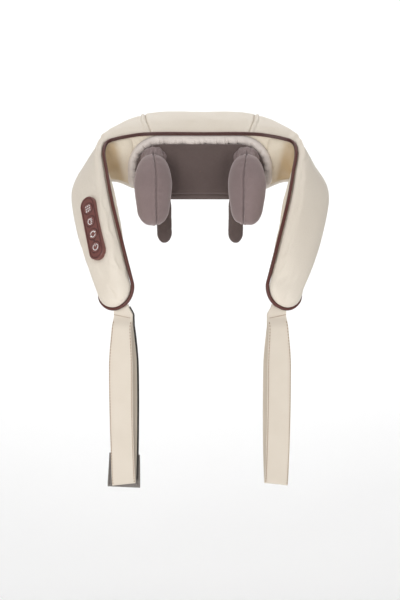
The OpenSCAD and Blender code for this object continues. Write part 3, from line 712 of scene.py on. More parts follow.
# ---------------------------------------------------------------- liners towards the wearer
def liner(name, node, side):
    """The liner on the inner face of an arm, from the collar to the arm's end."""
    us = list(np.linspace(FOAM_U, LAST - 0.02, 66)) + END_US
    skin = Skin(us, lambda u: (edge_out(u), 360 + edge_in(u)), 30, side)
    u, edge, inboard = skin.u, skin.edge, skin.left
    wob = skin.noise(50, 8)
    ripple = np.sin(skin.along / 10 * 2 * math.pi + 3 * wob) * (0.5 + 0.5 * skin.noise(20, 9))
    rise = 0.7 * skin.noise(26, 11) + 0.5 * ripple * np.exp(-edge / 8)
    # The arm's padding bulges beside the neck-side piping, most where the photo shows it past the piping.
    arm_part = smooth((u - 4.0) / 1.2) * (1 - smooth((u - 7.2) / 0.8))
    rise += 4.4 * arm_part * smooth(inboard / 6) * np.exp(-(np.maximum(inboard - 8, 0) / 10) ** 2)
    rise += 3.4 * bump(u - 5.9, 0.75) * smooth(inboard / 3) * np.exp(-(np.maximum(inboard - 4, 0) / 8) ** 2)
    # It sinks in the bend, tucks under the liner of the collar and is sewn down at the piping.
    rise -= 1.3 * bump(u - 2.85, 0.5) * smooth(edge / 12)
    rise -= 8.0 * np.exp(-(u - FOAM_U) / 0.10)
    rise -= 1.4 * np.exp(-edge / 1.6)
    obj = new_mesh(name, skin.moved(rise), skin.faces, liner_mat)
    # Painted shade: a khaki tint in the hollow of the bend towards the arm, and along the lower outer edge near the
    # collar.
    khaki_shade = smooth((u - 2.50) / 0.45) * (1 - smooth((u - 3.9) / 0.9)) * smooth(edge / 5)
    low = np.exp(-skin.across / 15) * (1 - smooth((u - 3.0) / 0.8))
    set_shade(obj, np.clip(0.95 * khaki_shade + 0.75 * low, 0, 1) * (0.85 + 0.15 * wob))
    inflate(obj, border(*skin.shape), pressure=2.0, shrink=0.015, frames=12, out=2.0, inside=0.6, bend=1.5)
    place_padded(shell(obj, LINER_T), ROOT, "liner_leather", 0.8, node)


liner("arm_liner_right", "liner_right", 1)
liner("arm_liner_left", "liner_left", -1)


# ---------------------------------------------------------------- piping
PIPING_R, PIPING_OUT, GROOVE, PIPING_COLS, PIPING_FINER = 2.45, 2.2, 0.5, 20, 3


def smoothed(path):
    """More points through a path, on a smooth curve."""
    p = np.vstack([2 * path[0] - path[1], path, 2 * path[-1] - path[-2]])
    return np.array([curve(*p[i - 1:i + 3], k / PIPING_FINER)
                     for i in range(1, len(p) - 2) for k in range(PIPING_FINER)] + [p[-2]])


def sweep(name, path, outs, ring, material, closed=False):
    """A tube along path, with ring as its profile of (outwards, sideways) offsets in metres."""
    m, k = len(path), len(ring)
    tangents = np.roll(path, -1, 0) - np.roll(path, 1, 0) if closed else np.gradient(path, axis=0)
    pts = []
    for p, tangent, out in zip(path, tangents, outs):
        t = unit(tangent)
        b = unit(np.cross(t, out))
        o = np.cross(b, t)
        pts += [p + o * x + b * y for x, y in ring]
    faces = [(i * k + s, (i + 1) % m * k + s, (i + 1) % m * k + (s + 1) % k, i * k + (s + 1) % k)
             for i in range(m if closed else m - 1) for s in range(k)]
    if not closed:
        faces += [f[::-1] for f in end_faces(m, k)]
    return new_mesh(name, pts, faces, material)


def piping_line():
    """The cord's path and outward directions: along the back, down each arm, over its end and up
    its far side."""
    us = [0, 0.3, 0.6, 0.9, 1.2] + list(np.linspace(1.5, LAST, 44))
    us += [LAST + t for t in tip_angles((15, 30, 45, 58, 69, 78, 84))]

    def at(u, angle):
        p = body(u, angle, -PIPING_OUT)
        return p, unit(p - body(u, angle, 4))
    half = [at(u, edge_in(u)) for u in us]
    mid, _, _, forward = section(LAST)[:4]
    half.append((mid + forward * (ARM_TIP + PIPING_OUT), forward))
    half += [at(u, edge_out(u)) for u in us[::-1] if u > PIPING_END_U]
    line = [(p * FLIP, o * FLIP) for p, o in half[:0:-1]] + half
    return smoothed(np.array([p for p, _ in line])) * MM, smoothed(np.array([o for _, o in line]))


def from_groove(a):
    """The angle from the sewn groove that splits the cord's top in two."""
    return np.arctan2(np.sin(a - GROOVE), np.cos(a - GROOVE))


round_cord = turns(PIPING_COLS)
cord_r = PIPING_R * (1.04 - 0.30 * bump(from_groove(round_cord), 0.34)) * MM
cord_ring = np.stack([cord_r * np.cos(round_cord), cord_r * np.sin(round_cord)], 1)
pipe_path, pipe_outs = piping_line()
piping = sweep("piping_cord", pipe_path, pipe_outs, cord_ring, piping_mat)
# Painted shade: the cord darkens in its sewn groove.
set_shade(piping, np.tile(0.85 * bump(from_groove(round_cord), 0.55), len(pipe_path)))
place(piping, ROOT, "brown_piping", "piping")


# ---------------------------------------------------------------- kneading panel and its gathered rim
HEAD_X, NECK_Z = 67.0, 14.0


def convex_outline(grow, count, low=-33):
    """The kneading pad's outline grown by grow mm, as evenly spaced (x, z) points, anticlockwise
    seen from the wearer, starting at the bottom middle."""
    pts = []
    for cx, cz, r in ((58, 2, 36), (88, -12, 6), (66, low, 8)):
        for sx in (1, -1):
            pts += circle(r + grow, 72, sx * cx, cz)
    pts = sorted(set((round(x, 4), round(z, 4)) for x, z in pts))

    def chain(points):
        out = []
        for p in points:
            while len(out) > 1 and ((out[-1][0] - out[-2][0]) * (p[1] - out[-2][1])
                                    - (out[-1][1] - out[-2][1]) * (p[0] - out[-2][0])) <= 0:
                out.pop()
            out.append(p)
        return out[:-1]
    hull = np.array(chain(pts) + chain(pts[::-1]))
    start = np.argmin(np.abs(hull[:, 0]) + (hull[:, 1] > -20) * 1000)
    hull = np.roll(hull, -start, 0)
    hull[0, 0] = 0 if abs(hull[0, 0]) < 1 else hull[0, 0]
    ring = np.vstack([hull, hull[:1]])
    s = lengths(ring)
    return resample(ring, np.linspace(0, s[-1], count + 1)[:-1], s)


def rect_mask(x, z, w, h, soft):
    dx, dz = np.abs(x) - w / 2, np.abs(z) - h / 2
    d = np.hypot(np.maximum(dx, 0), np.maximum(dz, 0)) + np.minimum(np.maximum(dx, dz), 0)
    return smooth(0.5 - d / soft)


def panel_height(x, z, edge):
    """Y of the suede panel's front in mm; edge is the distance from its outline. The nape rest is
    flat, and the suede rises in creases round each head's neck."""
    y = 3.2 - 3.4 * rect_mask(x, z, 74, 70, 16) + 1.4 * np.exp(-edge / 4)
    for sx in (-1, 1):
        dx, dz = x - sx * HEAD_X, z - NECK_Z
        r = np.hypot(dx, dz)
        a = np.arctan2(dz, dx * sx)
        up = np.maximum(0, np.sin(a)) ** 2
        crease = np.cos(a * 11 + 2.2 * np.sin(a * 2) + 0.6) * (0.35 + 0.65 * up)
        mound = np.exp(-np.maximum(r - 15, 0) / (8 + 5 * up))
        y -= (4.2 + 1.5 * crease * smooth((r - 13) / 4)) * mound
    return y


def knead_panel():
    """The suede panel: its front, its sides back to the body and its underside with two slots."""
    ring = convex_outline(0.0, 300, low=-36.5)
    m = len(ring)
    centre = np.array([0.0, -2.0])
    out_n = np.roll(ring, -1, 0) - np.roll(ring, 1, 0)
    out_n = np.stack([out_n[:, 1], -out_n[:, 0]], 1)
    out_n /= np.linalg.norm(out_n, axis=1, keepdims=True)
    depths = [24.0, 20.0, 16.0, 12.5, 9.5, 7.6, 6.4]
    pts = []
    for y in depths:
        p = ring - out_n * (0.6 + max(9.5 - y, 0) * 0.25)
        pts += [(x, y, z) for x, z in p]
    shares = np.concatenate([np.linspace(1.0, 0.86, 12), np.linspace(0.84, 0.0, 44)])
    for t in shares:
        x, z = (centre + (ring - out_n * 1.2 - centre) * max(t, 0.004)).T
        y = panel_height(x, z, (1 - t) * np.linalg.norm(ring - centre, axis=1))
        tri = np.stack([x, y, z], 1)
        # The sewn line above the bottom edge, and the soft roll under it.
        up = z - (-36.8 + 1.6 * (1 - (x / 60) ** 2))
        tri[:, 1] += (np.abs(x) < 75) * (1.3 * bump(up, 0.9) - 1.0 * bump(up + 3.2, 2.2) - 0.5 * bump(up - 2.6, 1.6))
        wave = np.stack([x, y, z], 1) * MM
        tri[:, 1] += noise_at(wave, 40, 21) * 0.5 + noise_at(wave, 110, 22) * 0.2
        pts += [tuple(v) for v in tri]
    faces = []
    for n, quad in enumerate(grid_faces(len(depths) + len(shares), m, wrap=True)):
        row = n // m
        x, y, z = np.mean([pts[q] for q in quad], axis=0)
        open_back = row < len(depths) - 1 and y > 14.2 and z >= -36
        slot = 41 < abs(x) < 72.5 and y > 7.8 and z < SLOT_TOP
        neck = math.hypot(abs(x) - HEAD_X, z - NECK_Z) < 13.6 and row > len(depths)
        if not (open_back or slot or neck):
            faces.append(quad)
    obj = shell(new_mesh("knead_panel", np.array(pts) * MM, faces, suede_dark), 1.0)
    place_padded(obj, ROOT, "suede", 0.5, "knead_cover", "nape_pad")


knead_panel()


def rim():
    """The gathered elastic rim: a soft roll round the panel, pulled in by its elastic. It leaves
    the outline's bottom open."""
    ring = convex_outline(4.6, 720)
    keep = [i for i in range(len(ring)) if ring[i][1] > -24.5]
    # Roll so that the kept run is one piece, from the lower right over the top to the lower left.
    gap = next((i for i in range(len(keep)) if keep[i] != keep[0] + i), 0)
    c, out_n, s = path_frame(ring[keep[gap:] + keep[:gap]])
    at = np.stack([c[:, 0], np.zeros(len(c)), c[:, 1]], 1) * MM
    warp, warp2, warp3 = (noise_at(at, k, 31 + k) for k in (45, 130, 260))
    pts = []
    for i in range(len(c)):
        end = smooth(min(s[i], s[-1] - s[i]) / 9 + 0.25)
        pucker = abs(math.sin(math.pi * s[i] / 12.5 + 3.2 * warp[i] + 2.0 * warp2[i]))
        fine = abs(math.sin(math.pi * s[i] / 4.2 + 4 * warp2[i]))
        for a in turns(26):
            inward = 0.5 - 0.5 * math.cos(a)
            front = max(0.0, -math.sin(a))
            pull = (0.75 * (1 - pucker) + 0.4 * (1 - fine) * (0.5 + warp3[i])) * (0.5 + 0.5 * front)
            pull *= inward ** 1.3
            x = math.cos(a) * (6.5 - 2.6 * pull + (1.2 * warp2[i] + 1.0 * warp[i]) * inward) * end
            y = 7.6 + math.sin(a) * (7.0 - 3.9 * pull + 0.8 * warp[i]) * end
            pts.append((c[i][0] + out_n[i][0] * x, y, c[i][1] + out_n[i][1] * x))
    faces = grid_faces(len(c), 26, wrap=True) + end_faces(len(c), 26)
    obj = face_outwards(new_mesh("gathered_rim_roll", np.array(pts) * MM, faces, satin))
    use_modifier(obj, "SUBSURF", levels=1)
    place_padded(obj, ROOT, "cream_gathered", 0.5, "gathered_rim")


rim()


def collar_liner():
    """The liner between the piping along the back and the gathered rim, and down past its sides."""
    ring = convex_outline(7.5, 720)
    top = ring[ring[:, 1] > -27]
    top = top[np.argsort(np.arctan2(top[:, 1] + 40, top[:, 0]))]
    s = lengths(top)
    cols, rows = 121, 12
    at = np.linspace(0, s[-1], cols)
    x, z = resample(top, at, s).T
    rim_line = np.stack([x, np.full(cols, 9.0), z], 1)
    # The far edge: along the piping at the top, then down over the start of each arm's liner.
    run = [body(2.35, angle, 1.2) for angle in np.linspace(232, 320, 14)[:-1]]
    run += [body(u, 322, 0.5) for u in np.linspace(2.35, 0, 16)]
    line = np.array(run + [p * FLIP for p in run[::-1][1:]])
    s = lengths(line)
    far_line = resample(line, np.linspace(0, s[-1], cols), s)
    gather = np.sin(at / 7.0 * 2 * math.pi + 2.5 * noise_at(rim_line * MM, 60, 41))
    pts = []
    for t in np.linspace(0, 1, rows):
        p = far_line * (1 - t) + rim_line * t
        p[:, 1] += 6.4 * t * (1 - t) + gather * 0.7 * t ** 2
        pts += [tuple(v) for v in p]
    obj = new_mesh("collar_liner", np.array(pts) * MM, grid_faces(rows, cols), liner_mat)
    place(shell(obj, 0.8, offset=0), ROOT, "liner_leather")


collar_liner()


# ---------------------------------------------------------------- kneading heads and finger pads
# Each head runs from its flared neck down its lobe: [y, z, half width, half depth] of each section, in mm.
HEAD = [
    [1.5, 14.5, 8.5, 8.5], [-0.4, 15, 12, 12], [-1.3, 15.5, 18.6, 17.6], [-3.4, 15.8, 17.0, 16.6],
    [-7.5, 15.8, 14.2, 14.4], [-12, 14.8, 12.6, 12.4], [-17, 12.2, 15.2, 14.2], [-25.5, 5.5, 22.2, 19.4],
    [-37, -12, 26.5, 19.6], [-41.5, -32, 25.6, 18.5], [-42, -54, 22.4, 17], [-41, -75, 19.6, 15],
]
HEAD_TOP = [1, 1.1, 1.22, 1.2, 1.14, 1.06, 1, 1, 1, 1, 1, 1]  # how far the flare reaches upwards
HEAD_LAST = len(HEAD) - 1
FINGER_X, FINGER_Y, FINGER_TOP, FINGER_STRAIGHT, FINGER_END = 52.5, 18.0, -41.0, -94.0, -109.0
ROUND_END = tip_angles(np.linspace(6, 84, 14))


def head_at(u):
    """Centre, down direction, half width and half depth of a head's section."""
    def raw(v):
        k = int(min(max(math.floor(v), 0), HEAD_LAST - 1))
        return curve(*(np.array(HEAD[min(max(k + i, 0), HEAD_LAST)], float) for i in (-1, 0, 1, 2)), v - k)
    now, after, before = raw(u), raw(min(u + 0.05, HEAD_LAST)), raw(max(u - 0.05, 0))
    way = unit(np.array([0, after[0] - before[0], after[1] - before[1]]))
    return np.array([HEAD_X, now[0], now[1]]), way, now[2], now[3]


def claw_piece(name, side, points, faces, material):
    """The mesh of a padded piece on a claw, with its points and outward normals."""
    if side < 0:
        faces = [f[::-1] for f in faces]
    obj = face_outwards(new_mesh(name, mirror(np.array(points) * MM, side), faces, material))
    return obj, points_of(obj), normals_of(obj)


def finish_claw_piece(obj, node, side, fill):
    use_modifier(obj, "SUBSURF", levels=1)
    place_padded(obj, "right_claw" if side > 0 else "left_claw", "suede", fill, node)


def head(name, node, side):
    """A padded head: a flared neck, a long oval lobe and a seam down its middle."""
    us = list(np.linspace(0, 6, 34)) + list(np.linspace(6.15, HEAD_LAST - 1, 44))
    us += [HEAD_LAST - 1 + t for t in ROUND_END]
    ring = [a + 0.6 * math.cos(a) for a in turns(96)]  # closer together along the front seam
    sideways = np.array([1.0, 0, 0])
    pts, centres = [], []
    for u in us:
        mid, way, w, d = head_at(min(u, HEAD_LAST))
        k = math.sqrt(1 - max(0.0, u - (HEAD_LAST - 1)) ** 2)
        over = np.cross(way, sideways)
        if over[1] > 0:
            over = -over
        flare = float(smooth(u - 1) * (1 - smooth((u - 3.4) / 2.6)))
        top = float(np.interp(u, range(len(HEAD_TOP)), HEAD_TOP))
        for a in ring:
            # a = 90 degrees faces out of the front, 270 the body.
            ruffle = 0.022 * math.cos(7 * a + 0.6 + 1.1 * math.sin(2 * a)) + 0.010 * math.cos(13 * a + 1)
            size = k * (1 + flare * ruffle)
            x = w * size * squarer(math.cos(a), 2 / 2.15)
            y = d * size * (top if math.sin(a) > 0 else 1) * squarer(math.sin(a), 2 / 2.15)
            pts.append(mid + sideways * x + over * y)
            centres.append(mid)
    end = np.mean(pts[-len(ring):], axis=0)
    faces = grid_faces(len(us), len(ring), wrap=True) + tip_faces(len(us), len(ring), len(pts))
    obj, co, no = claw_piece(name, side, pts + [end], faces, suede)
    if ((co - mirror(np.array(centres + [end]) * MM, side)) * no).sum() < 0:
        no = -no
    x = co[:, 0] * side / MM - HEAD_X
    u = np.append(np.repeat(us, len(ring)), us[-1])
    a = np.append(np.tile(ring, len(us)), 0.0)
    wob = noise_at(co, 60, 51 + side)
    # The middle seam runs over the front of the lobe and under its end, with small gathers beside it.
    front = np.sin(a) > -0.2
    front[-1] = True
    slip = -5.4 * smooth((u - 5.9) / 2.4)
    d = np.abs(x - slip)
    on = front * smooth(u - 4.2)
    rise = on * (-2.3 * bump(d, 1.1) + 0.6 * bump(d - 3.0, 1.5))
    rise += on * 0.4 * np.sin(u * 5 * math.pi + 2.4 * wob) * np.exp(-d / 6) * smooth(d / 1.5)
    rise += smooth((u - 5) / 1.5) * (0.7 * noise_at(co, 30, 55 + side) + 0.25 * noise_at(co, 80, 56))
    # Creases of the neck, and the tuck where the lobe starts.
    rise += 0.9 * bump(u - 4.0, 1.5) * np.cos(8 * a + 1.5 * wob) - 1.3 * bump(u - 5.7, 0.42)
    pins = set(np.nonzero((on > 0.5) & (d < 0.8))[0]) | set(np.nonzero(u < 3.6)[0])
    # Painted shade: dark along the seam, over the half towards the panel's middle and in the tuck where the lobe
    # starts.
    shade = 0.55 * on * bump(d, 0.9) + 0.20 * smooth((slip - x) / 7) + 0.35 * bump(u - 5.6, 0.5)
    set_shade(obj, np.clip(shade, 0, 1))
    set_points(obj, co + no * rise[:, None] * MM)
    inflate(obj, pins, pressure=3, shrink=0.015, frames=14, out=1.6, inside=0.6, bend=1.5)
    finish_claw_piece(obj, node, side, 0.75)


def finger(name, node, side):
    """A padded finger below the panel: a flat rounded tongue, sewn round its edge."""
    half_w, half_d, ring = 11.0, 6.5, turns(56)
    pts = []
    for z in list(np.linspace(FINGER_TOP, FINGER_STRAIGHT, 34)) + [
            FINGER_STRAIGHT + (FINGER_END - FINGER_STRAIGHT) * t for t in ROUND_END]:
        past = max(0.0, (FINGER_STRAIGHT - z) / (FINGER_STRAIGHT - FINGER_END))
        k = math.sqrt(max(0.0, 1 - past * past))
        narrow = 1 - 0.10 * smooth((z + 56) / 14)
        for a in ring:
            x = half_w * k * narrow * squarer(math.cos(a), 0.8)
            y = half_d * k ** 0.8 * narrow * squarer(math.sin(a), 0.85)
            pts.append((FINGER_X + x, FINGER_Y + y, z))
    tip, cols = len(pts), len(ring)
    pts += [(FINGER_X, FINGER_Y, FINGER_END), (FINGER_X, FINGER_Y, FINGER_TOP + 1)]
    faces = grid_faces(tip // cols, cols, wrap=True) + tip_faces(tip // cols, cols, tip)
    faces += [f[::-1] for f in tip_faces(1, cols, tip + 1)]
    obj, co, no = claw_piece(name, side, pts, faces, suede_dark)
    x, y, z = co.T / MM
    from_seam = np.abs(y - FINGER_Y)
    edge = (np.abs(np.abs(x) - FINGER_X) > 5) | (z < FINGER_STRAIGHT - 6)
    rise = -0.9 * edge * np.exp(-from_seam / 0.9)
    rise += 0.45 * noise_at(co, 55, 61 + side) + 0.2 * noise_at(co, 130, 62)
    pins = set(np.nonzero(edge & (from_seam < 0.8))[0]) | set(range(cols * 2)) | {tip + 1}
    set_points(obj, co + no * rise[:, None] * MM)
    inflate(obj, pins, pressure=3, shrink=0.01, frames=12, out=0.9, inside=0.5, bend=1.5)
    finish_claw_piece(obj, node, side, 0.7)


for side, word in ((1, "right"), (-1, "left")):
    head("head_" + word, "kneading_head_" + word, side)
    finger("finger_" + word, "finger_pad_" + word, side)


# ---------------------------------------------------------------- hand straps
HINGE = np.array([106.0, -148.0, -187.0])
YAW = math.radians(15)
LOOP_LEN, LOOP_GAP, WEB_T, STRAP_W, TAB_TOP = 238.0, 18.0, 1.6, 33.8, 15.0
GATHERED = 0.79  # share of the web's width at its stitch line
TUCK = 5.0  # how far behind the arm's piping the web comes out
THREAD_COLS = 6


def on_strap(side, x, y, z):
    """A point in metres from the right strap's frame; -y is its front."""
    p = HINGE + np.array([math.cos(YAW), math.sin(YAW), 0]) * x + np.array([-math.sin(YAW), math.cos(YAW), 0]) * y
    return mirror((p + np.array([0, 0, z])) * MM, side)


# In these, s is the share of the loop's length below its stitch line, and is negative above it.
def half_gap(s):
    t = min(max((s - 0.02) / 0.975, 0), 1)
    return LOOP_GAP / 2 * max(0.0, math.sin(math.pi * t ** 0.8)) ** 0.7


def above(s):
    return float(smooth(-s * LOOP_LEN / 14)) if s < 0 else 0.0


def web_width(s):
    """The web is gathered a little at its stitch line, more above it, and full below."""
    return STRAP_W * (GATHERED - 0.18 * above(s) + (1 - GATHERED) * float(smooth(s / 0.30)))


def outer_side(s):
    """Above its stitch line the web is folded in along its inner edge only."""
    return STRAP_W * 0.09 * above(s)


def hang(s):
    """The web's lower end hangs lower along its outer edge."""
    return 3.0 * float(smooth((s - 0.8) / 0.2))


def tucked(s):
    """How far back the web lies where it comes out from behind the arm's piping."""
    return TUCK * float(smooth(1 - s / 0.07))


def loop_path():
    """The web's cross-section as (y, z, s): down from the tab, round the loop and up again."""
    down = [(half_gap(s) + WEB_T / 2, -s * LOOP_LEN, s) for s in np.linspace(0.0, 1.0, 90)]
    tab = [(WEB_T * 0.55, z, -z / LOOP_LEN) for z in np.linspace(TAB_TOP, 1.5, 12)]
    fold = [(-WEB_T / 2 * math.cos(a), -LOOP_LEN - 0.6 * math.sin(a), 1.0)
            for a in np.linspace(0.3, math.pi - 0.3, 7)]
    path = [(-y, z, s) for y, z, s in tab + down] + fold + down[::-1] + tab[::-1]
    out = []
    for y, z, s in path:
        p = (y + tucked(s), z, s)
        if not out or math.hypot(p[0] - out[-1][0], p[1] - out[-1][1]) > 0.25:
            out.append(p)
    return out


def ribbon(name, side, path, width_at, thick, material, seed, bow=0.0, aside=0.0, wave=0.0, droop=1.0):
    """A flat web along a path of (y, z, s), with its weave laid out in a UV map named flat."""
    c, n, run = path_frame(path)
    pts, uvs = [], []
    for i, p in enumerate(path):
        for v in np.linspace(-1, 1, 21):
            q = c[i] + n[i] * (0.35 * bow * v * v + wave * math.sin(run[i] / 34 + seed) * v)
            x = v * width_at(p[2]) / 2 + aside + outer_side(p[2])
            pts.append(on_strap(side, x, q[0], q[1] - droop * hang(p[2]) * v))
            uvs.append((v * STRAP_W / 2 * MM, run[i] * MM))
    obj = new_mesh(name, pts, grid_faces(len(path), 21), material)
    layer = obj.data.uv_layers.new(name="flat")
    for loop in obj.data.loops:
        layer.data[loop.index].uv = uvs[loop.vertex_index]
    co = points_of(obj)
    uneven = noise_at(co, 28, seed) * 0.45 + noise_at(co, 80, seed + 1) * 0.12
    set_points(obj, co + normals_of(obj) * uneven[:, None] * MM)
    use_modifier(obj, "SOLIDIFY", thickness=thick * MM, offset=0)
    return use_modifier(obj, "BEVEL", width=0.35 * MM, segments=2, limit_method="ANGLE")


def stitches(side, path, x_at, offset, length=3.2, gap=1.7, r=0.32, material=thread, droop=1.0):
    """Short thread stitches along a path at a place across the web, offset mm off its middle."""
    c, n, run = path_frame(path)
    shares = [p[2] for p in path]
    pts, faces = [], []
    at = 1.0
    while at + length < run[-1] - 1:
        faces += grid_faces(5, THREAD_COLS, wrap=True, flip=True, first=len(pts))
        faces += end_faces(5, THREAD_COLS, first=len(pts))
        for k, a in enumerate(np.linspace(at, at + length, 5)):
            y, z, ny, nz, s = (np.interp(a, run, v) for v in (c[:, 0], c[:, 1], n[:, 0], n[:, 1], shares))
            lift = offset + 0.25 * math.sin(math.pi * k / 4)
            rr = r * (0.55 + 0.45 * math.sin(math.pi * (k + 0.6) / 5.2))
            z -= hang(s) * x_at(s) / (STRAP_W / 2) * droop
            for b in turns(THREAD_COLS):
                off = lift + rr * math.sin(b)
                pts.append(on_strap(side, x_at(s) + rr * 1.3 * math.cos(b), y + ny * off, z + nz * off))
        at += length + gap
    return face_outwards(new_mesh("stitches", pts, faces, material))


def closing_stitches(side, d):
    """The line of stitches that closes the loop under the arm, on its front (d = -1) or back."""
    pts, faces = [], []
    for x0 in np.arange(9) * 2.7 - 10.5:
        faces += grid_faces(4, THREAD_COLS, wrap=True, flip=True, first=len(pts))
        for i in range(4):
            x = x0 + 1.9 * i / 3
            y = d * (2.2325 + 0.22 * math.sin(math.pi * i / 3)) + TUCK
            for b in turns(THREAD_COLS):
                z = 0.16 * x - 1.6 + 0.35 * math.sin(b)
                pts.append(on_strap(side, x, y + 0.3 * math.cos(b), z))
    return new_mesh("closing_stitches", pts, faces, thread)


def blend_at_fold(obj):
    """Bakes the piece's transform into its mesh."""
    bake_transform(obj)
    return obj


def strap(side, word):
    path = loop_path()
    parts = [ribbon("strap_web_" + word, side, path, web_width, 1.2, webbing, 70 + side, bow=0.9, wave=0.25)]
    inner = [p for p in path if p[1] < -6]
    half = len(inner) // 2
    for sub in (inner[:half], inner[half:]):
        for e in (-1, 1):
            parts.append(stitches(side, sub, lambda s, e=e: e * (web_width(s) / 2 - 1.3), 1.15, 2.6, 1.6, 0.45))
    parts += [closing_stitches(side, d) for d in (-1, 1)]
    obj = blend_at_fold(join("strap_web_" + word, parts))
    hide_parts("strap_loop_" + word, "strap_tab_" + word)


strap(1, "right")
strap(-1, "left")

# The dark lining behind the left loop, and the hook patch at its end.
back_path = [(WEB_T + 0.6 + TUCK, z, -z / LOOP_LEN) for z in (12.0, 9.0, 6.0, 3.0)]
back_path += [(half_gap(s) + WEB_T + 0.5 + tucked(s), -s * LOOP_LEN, s) for s in np.linspace(0.0, 0.985, 80)]
lining_obj = ribbon("strap_lining", -1, back_path, lambda s: web_width(s) + 1.0 + 1.6 * float(smooth(s / 0.12)),
                    0.9, lining, 81, aside=-1.4, wave=0.15)
blend_at_fold(lining_obj)
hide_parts("strap_lining_left")

patch_path = [(half_gap(s) + WEB_T + 2.0, -s * LOOP_LEN, s) for s in np.linspace(0.83, 1.0, 30)]
patch_path.append((WEB_T + 2.0, -LOOP_LEN - 6.5, 1.0))
patch_parts = [ribbon("hook_patch_pad", -1, patch_path, lambda s: 44.5 + 18 * (s - 0.83), 1.8, hooks,
                      83, aside=1.5, droop=0.3)]
patch_parts += [stitches(-1, patch_path, lambda s, e=e: e * 20.8 + 1.5, 1.0, material=dark_thread, droop=0.3)
                for e in (-1, 1)]
patch_obj = place(join("hook_patch_pad", patch_parts), "left_loop", "hook_grey")
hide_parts("hook_patch")


# ---------------------------------------------------------------- buttons and their icons
KEYS = {"heat": 1.5 * BUTTON_PITCH, "direction": 0.5 * BUTTON_PITCH,
        "mode": -0.5 * BUTTON_PITCH, "power": -1.5 * BUTTON_PITCH}
# (radius, height) of a key from its skirt over its soft rim to its dished middle.
KEY_PROFILE = [(7.38, -0.6), (7.38, 1.9), (7.25, 2.25), (6.9, 2.42), (6.4, 2.38), (5.9, 2.10), (5.3, 1.90),
               (3.5, 1.84), (1.5, 1.82)]
ICON_Z, ICON_RISE, ICON_GROW = 1.86, 0.22, 1.18


def key_cap(name):
    pts = [on_panel(x, y, z) for r, z in KEY_PROFILE for x, y in circle(r, 48, 0, KEYS[name])]
    faces = grid_faces(len(KEY_PROFILE), 48, wrap=True) + end_faces(len(KEY_PROFILE), 48)
    obj = face_outwards(new_mesh("keycap_" + name, pts, faces, key_mat))
    place(obj, name + "_key", "panel_brown", "button_" + name)


def icon(name, lines, w=0.5):
    """A raised icon from poly-lines, in panel mm about the key's middle; w is half a line's width."""
    pts, faces = [], []
    for line in lines:
        line, n, _ = path_frame(np.array(line, float) * ICON_GROW)
        faces += grid_faces(len(line), 4, flip=True, first=len(pts))
        faces += [f[::-1] for f in end_faces(len(line), 4, first=len(pts))]
        for p, q in zip(line, n):
            for off, h in ((w, 0.0), (w * 0.8, ICON_RISE), (-w * 0.8, ICON_RISE), (-w, 0.0)):
                pts.append(on_panel(p[0] + q[0] * off, KEYS[name] + p[1] + q[1] * off, ICON_Z + h))
    place(new_mesh("icon_" + name, pts, faces, icon_mat, smooth=False), name + "_key", "panel_brown")


def arc(r, a0, a1, count=20):
    return [(r * math.cos(math.radians(a)), r * math.sin(math.radians(a))) for a in np.linspace(a0, a1, count)]


for key in KEYS:
    key_cap(key)
# Heat: rows of leaning dashes. Direction: a crescent with strokes. Mode: two turning arcs. Power: an open
# ring and a bar.
icon("heat", [[(x + 0.5 * e, y - 0.85), (x - 0.5 * e, y + 0.85)]
              for x in (-2.8, 0.0, 2.8) for y, e in ((-3.2, 1), (0.0, -1), (3.2, 1))], w=0.72)
icon("direction", [arc(3.7, 95, 300), [(-0.3, 2.6), (2.6, 3.2)], [(0.2, 0.7), (3.2, 0.9)],
                   [(-0.2, -1.2), (2.6, -1.4)]])
icon("mode", [arc(3.6, 20, 165), arc(3.6, 200, 345), [(4.5, 2.1), (3.2, 0.6), (2.0, 2.2)],
              [(-4.5, -2.1), (-3.2, -0.6), (-2.0, -2.2)]])
icon("power", [arc(3.7, 115, 425, 30), [(0.0, 4.4), (0.0, 1.0)]])
lamp = new_mesh("lamp_dot", [on_panel(x, y, BEZEL_TOP + h) for h in (-0.2, 0.12)
                             for x, y in circle(1.1, 16, -0.4, -BUTTON_PITCH)],
                grid_faces(2, 16, wrap=True) + [tuple(range(16, 32))], CAD_LOOKS["black_plastic"], smooth=False)
place(face_outwards(lamp), ROOT, "panel_brown")


def bead(name, outline, r, lift, material):
    """A raised bead on the panel's face along a closed outline in panel mm."""
    path = np.array([on_panel(x, y, BEZEL_TOP + lift) for x, y in outline])
    obj = sweep(name, path, [P_Z] * len(path), circle(r * MM, 12), material, closed=True)
    place(face_outwards(obj), ROOT, "panel_brown")


def capsule_outline(inset):
    r = PANEL_W / 2 - inset
    middle_y = (PANEL_LEN - PANEL_W) / 2
    return [(r * math.cos(a), math.copysign(middle_y, math.sin(a)) + r * math.sin(a)) for a in turns(96) + 0.01]


bead("panel_bead", capsule_outline(0.9), 0.8, -0.1, panel_mat)
# The inner bead and the rings round the keys are painted shade, for the bezel's groove and the gaps round the keys.
bead("panel_bead_inner", capsule_outline(2.9), 0.55, -0.3, groove_shade_mat)
for key, y in KEYS.items():
    bead("ring_" + key, circle(8.35, 48, 0, y), 0.62, -0.25, groove_shade_mat)


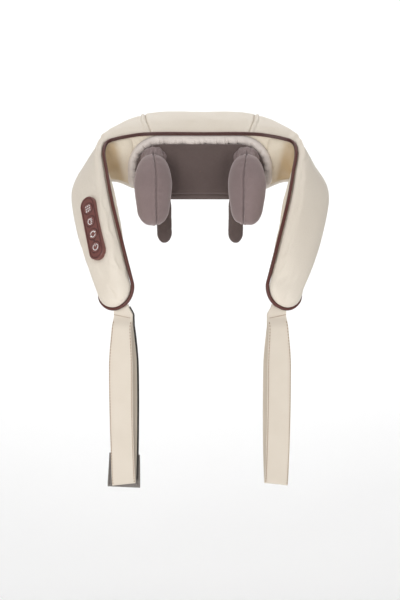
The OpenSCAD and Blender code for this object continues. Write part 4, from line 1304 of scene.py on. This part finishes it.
# ---------------------------------------------------------------- camera, backdrop and light
CAMERA_PITCH = math.radians(10)  # below the horizon
PAPER_FRONT, PAPER_BEND, PAPER_END, PAPER_R, FLOOR_Z, PAPER_TOP = -6.0, 1.2, 2.8, 1.6, -0.62, 7.0


def aimed(name, data, location, way):
    obj = bpy.data.objects.new(name, data)
    bpy.context.scene.collection.objects.link(obj)
    obj.location = location
    obj.rotation_euler = Vector(way).to_track_quat("-Z", "Y").to_euler()
    return obj


camera_data = bpy.data.cameras.new("camera")
camera_data.lens = 82.76
camera_data.sensor_width = 36
camera_data.sensor_fit = "AUTO"
bpy.context.scene.camera = aimed("camera", camera_data, (0, -1.9996, 0.1613),
                                 (0, math.cos(CAMERA_PITCH), -math.sin(CAMERA_PITCH)))


def backdrop():
    """A seamless pale floor that curves up behind the part."""
    profile = [(PAPER_FRONT, FLOOR_Z), (PAPER_BEND, FLOOR_Z)]
    profile += [(PAPER_BEND + PAPER_R * math.sin(math.radians(a)), FLOOR_Z + PAPER_R * (1 - math.cos(math.radians(a))))
                for a in range(10, 91, 10)] + [(PAPER_END, PAPER_TOP)]
    pts = [(x, y, z) for y, z in profile for x in (-7, 7)]
    m = Nodes("backdrop_paper", (0.93, 0.93, 0.93), 0.9)
    m.mottle(3, 0.2, (0.90, 0.90, 0.90), low=0.3, detail=2)
    m.relief(m.noise(300, 2), 0.05, 0.0005)
    return new_mesh("backdrop", pts, grid_faces(len(profile), 2), m.material)


backdrop()
for name, location, target, size, power in (
        ("key", (-1.0, -2.1, 0.35), (0, 0, -0.1), 1.3, 27), ("fill", (1.4, -1.9, 0.0), (0, 0, -0.15), 1.6, 15),
        ("top", (0, 0.4, 1.9), (0, 0, 0), 1.4, 0.8), ("paper", (0, 1.6, 2.2), (0, 2.6, 0.4), 3.0, 60)):
    light = bpy.data.lights.new(name, "AREA")
    light.shape, light.size, light.energy = "SQUARE", size, power
    aimed(name, light, location, Vector(target) - Vector(location))
world = bpy.data.worlds.new("studio")
world.use_nodes = True
world.node_tree.nodes["Background"].inputs["Color"].default_value = (1, 1, 1, 1)
world.node_tree.nodes["Background"].inputs["Strength"].default_value = 0.33
bpy.context.scene.world = world
bpy.context.scene.view_settings.view_transform = "Standard"
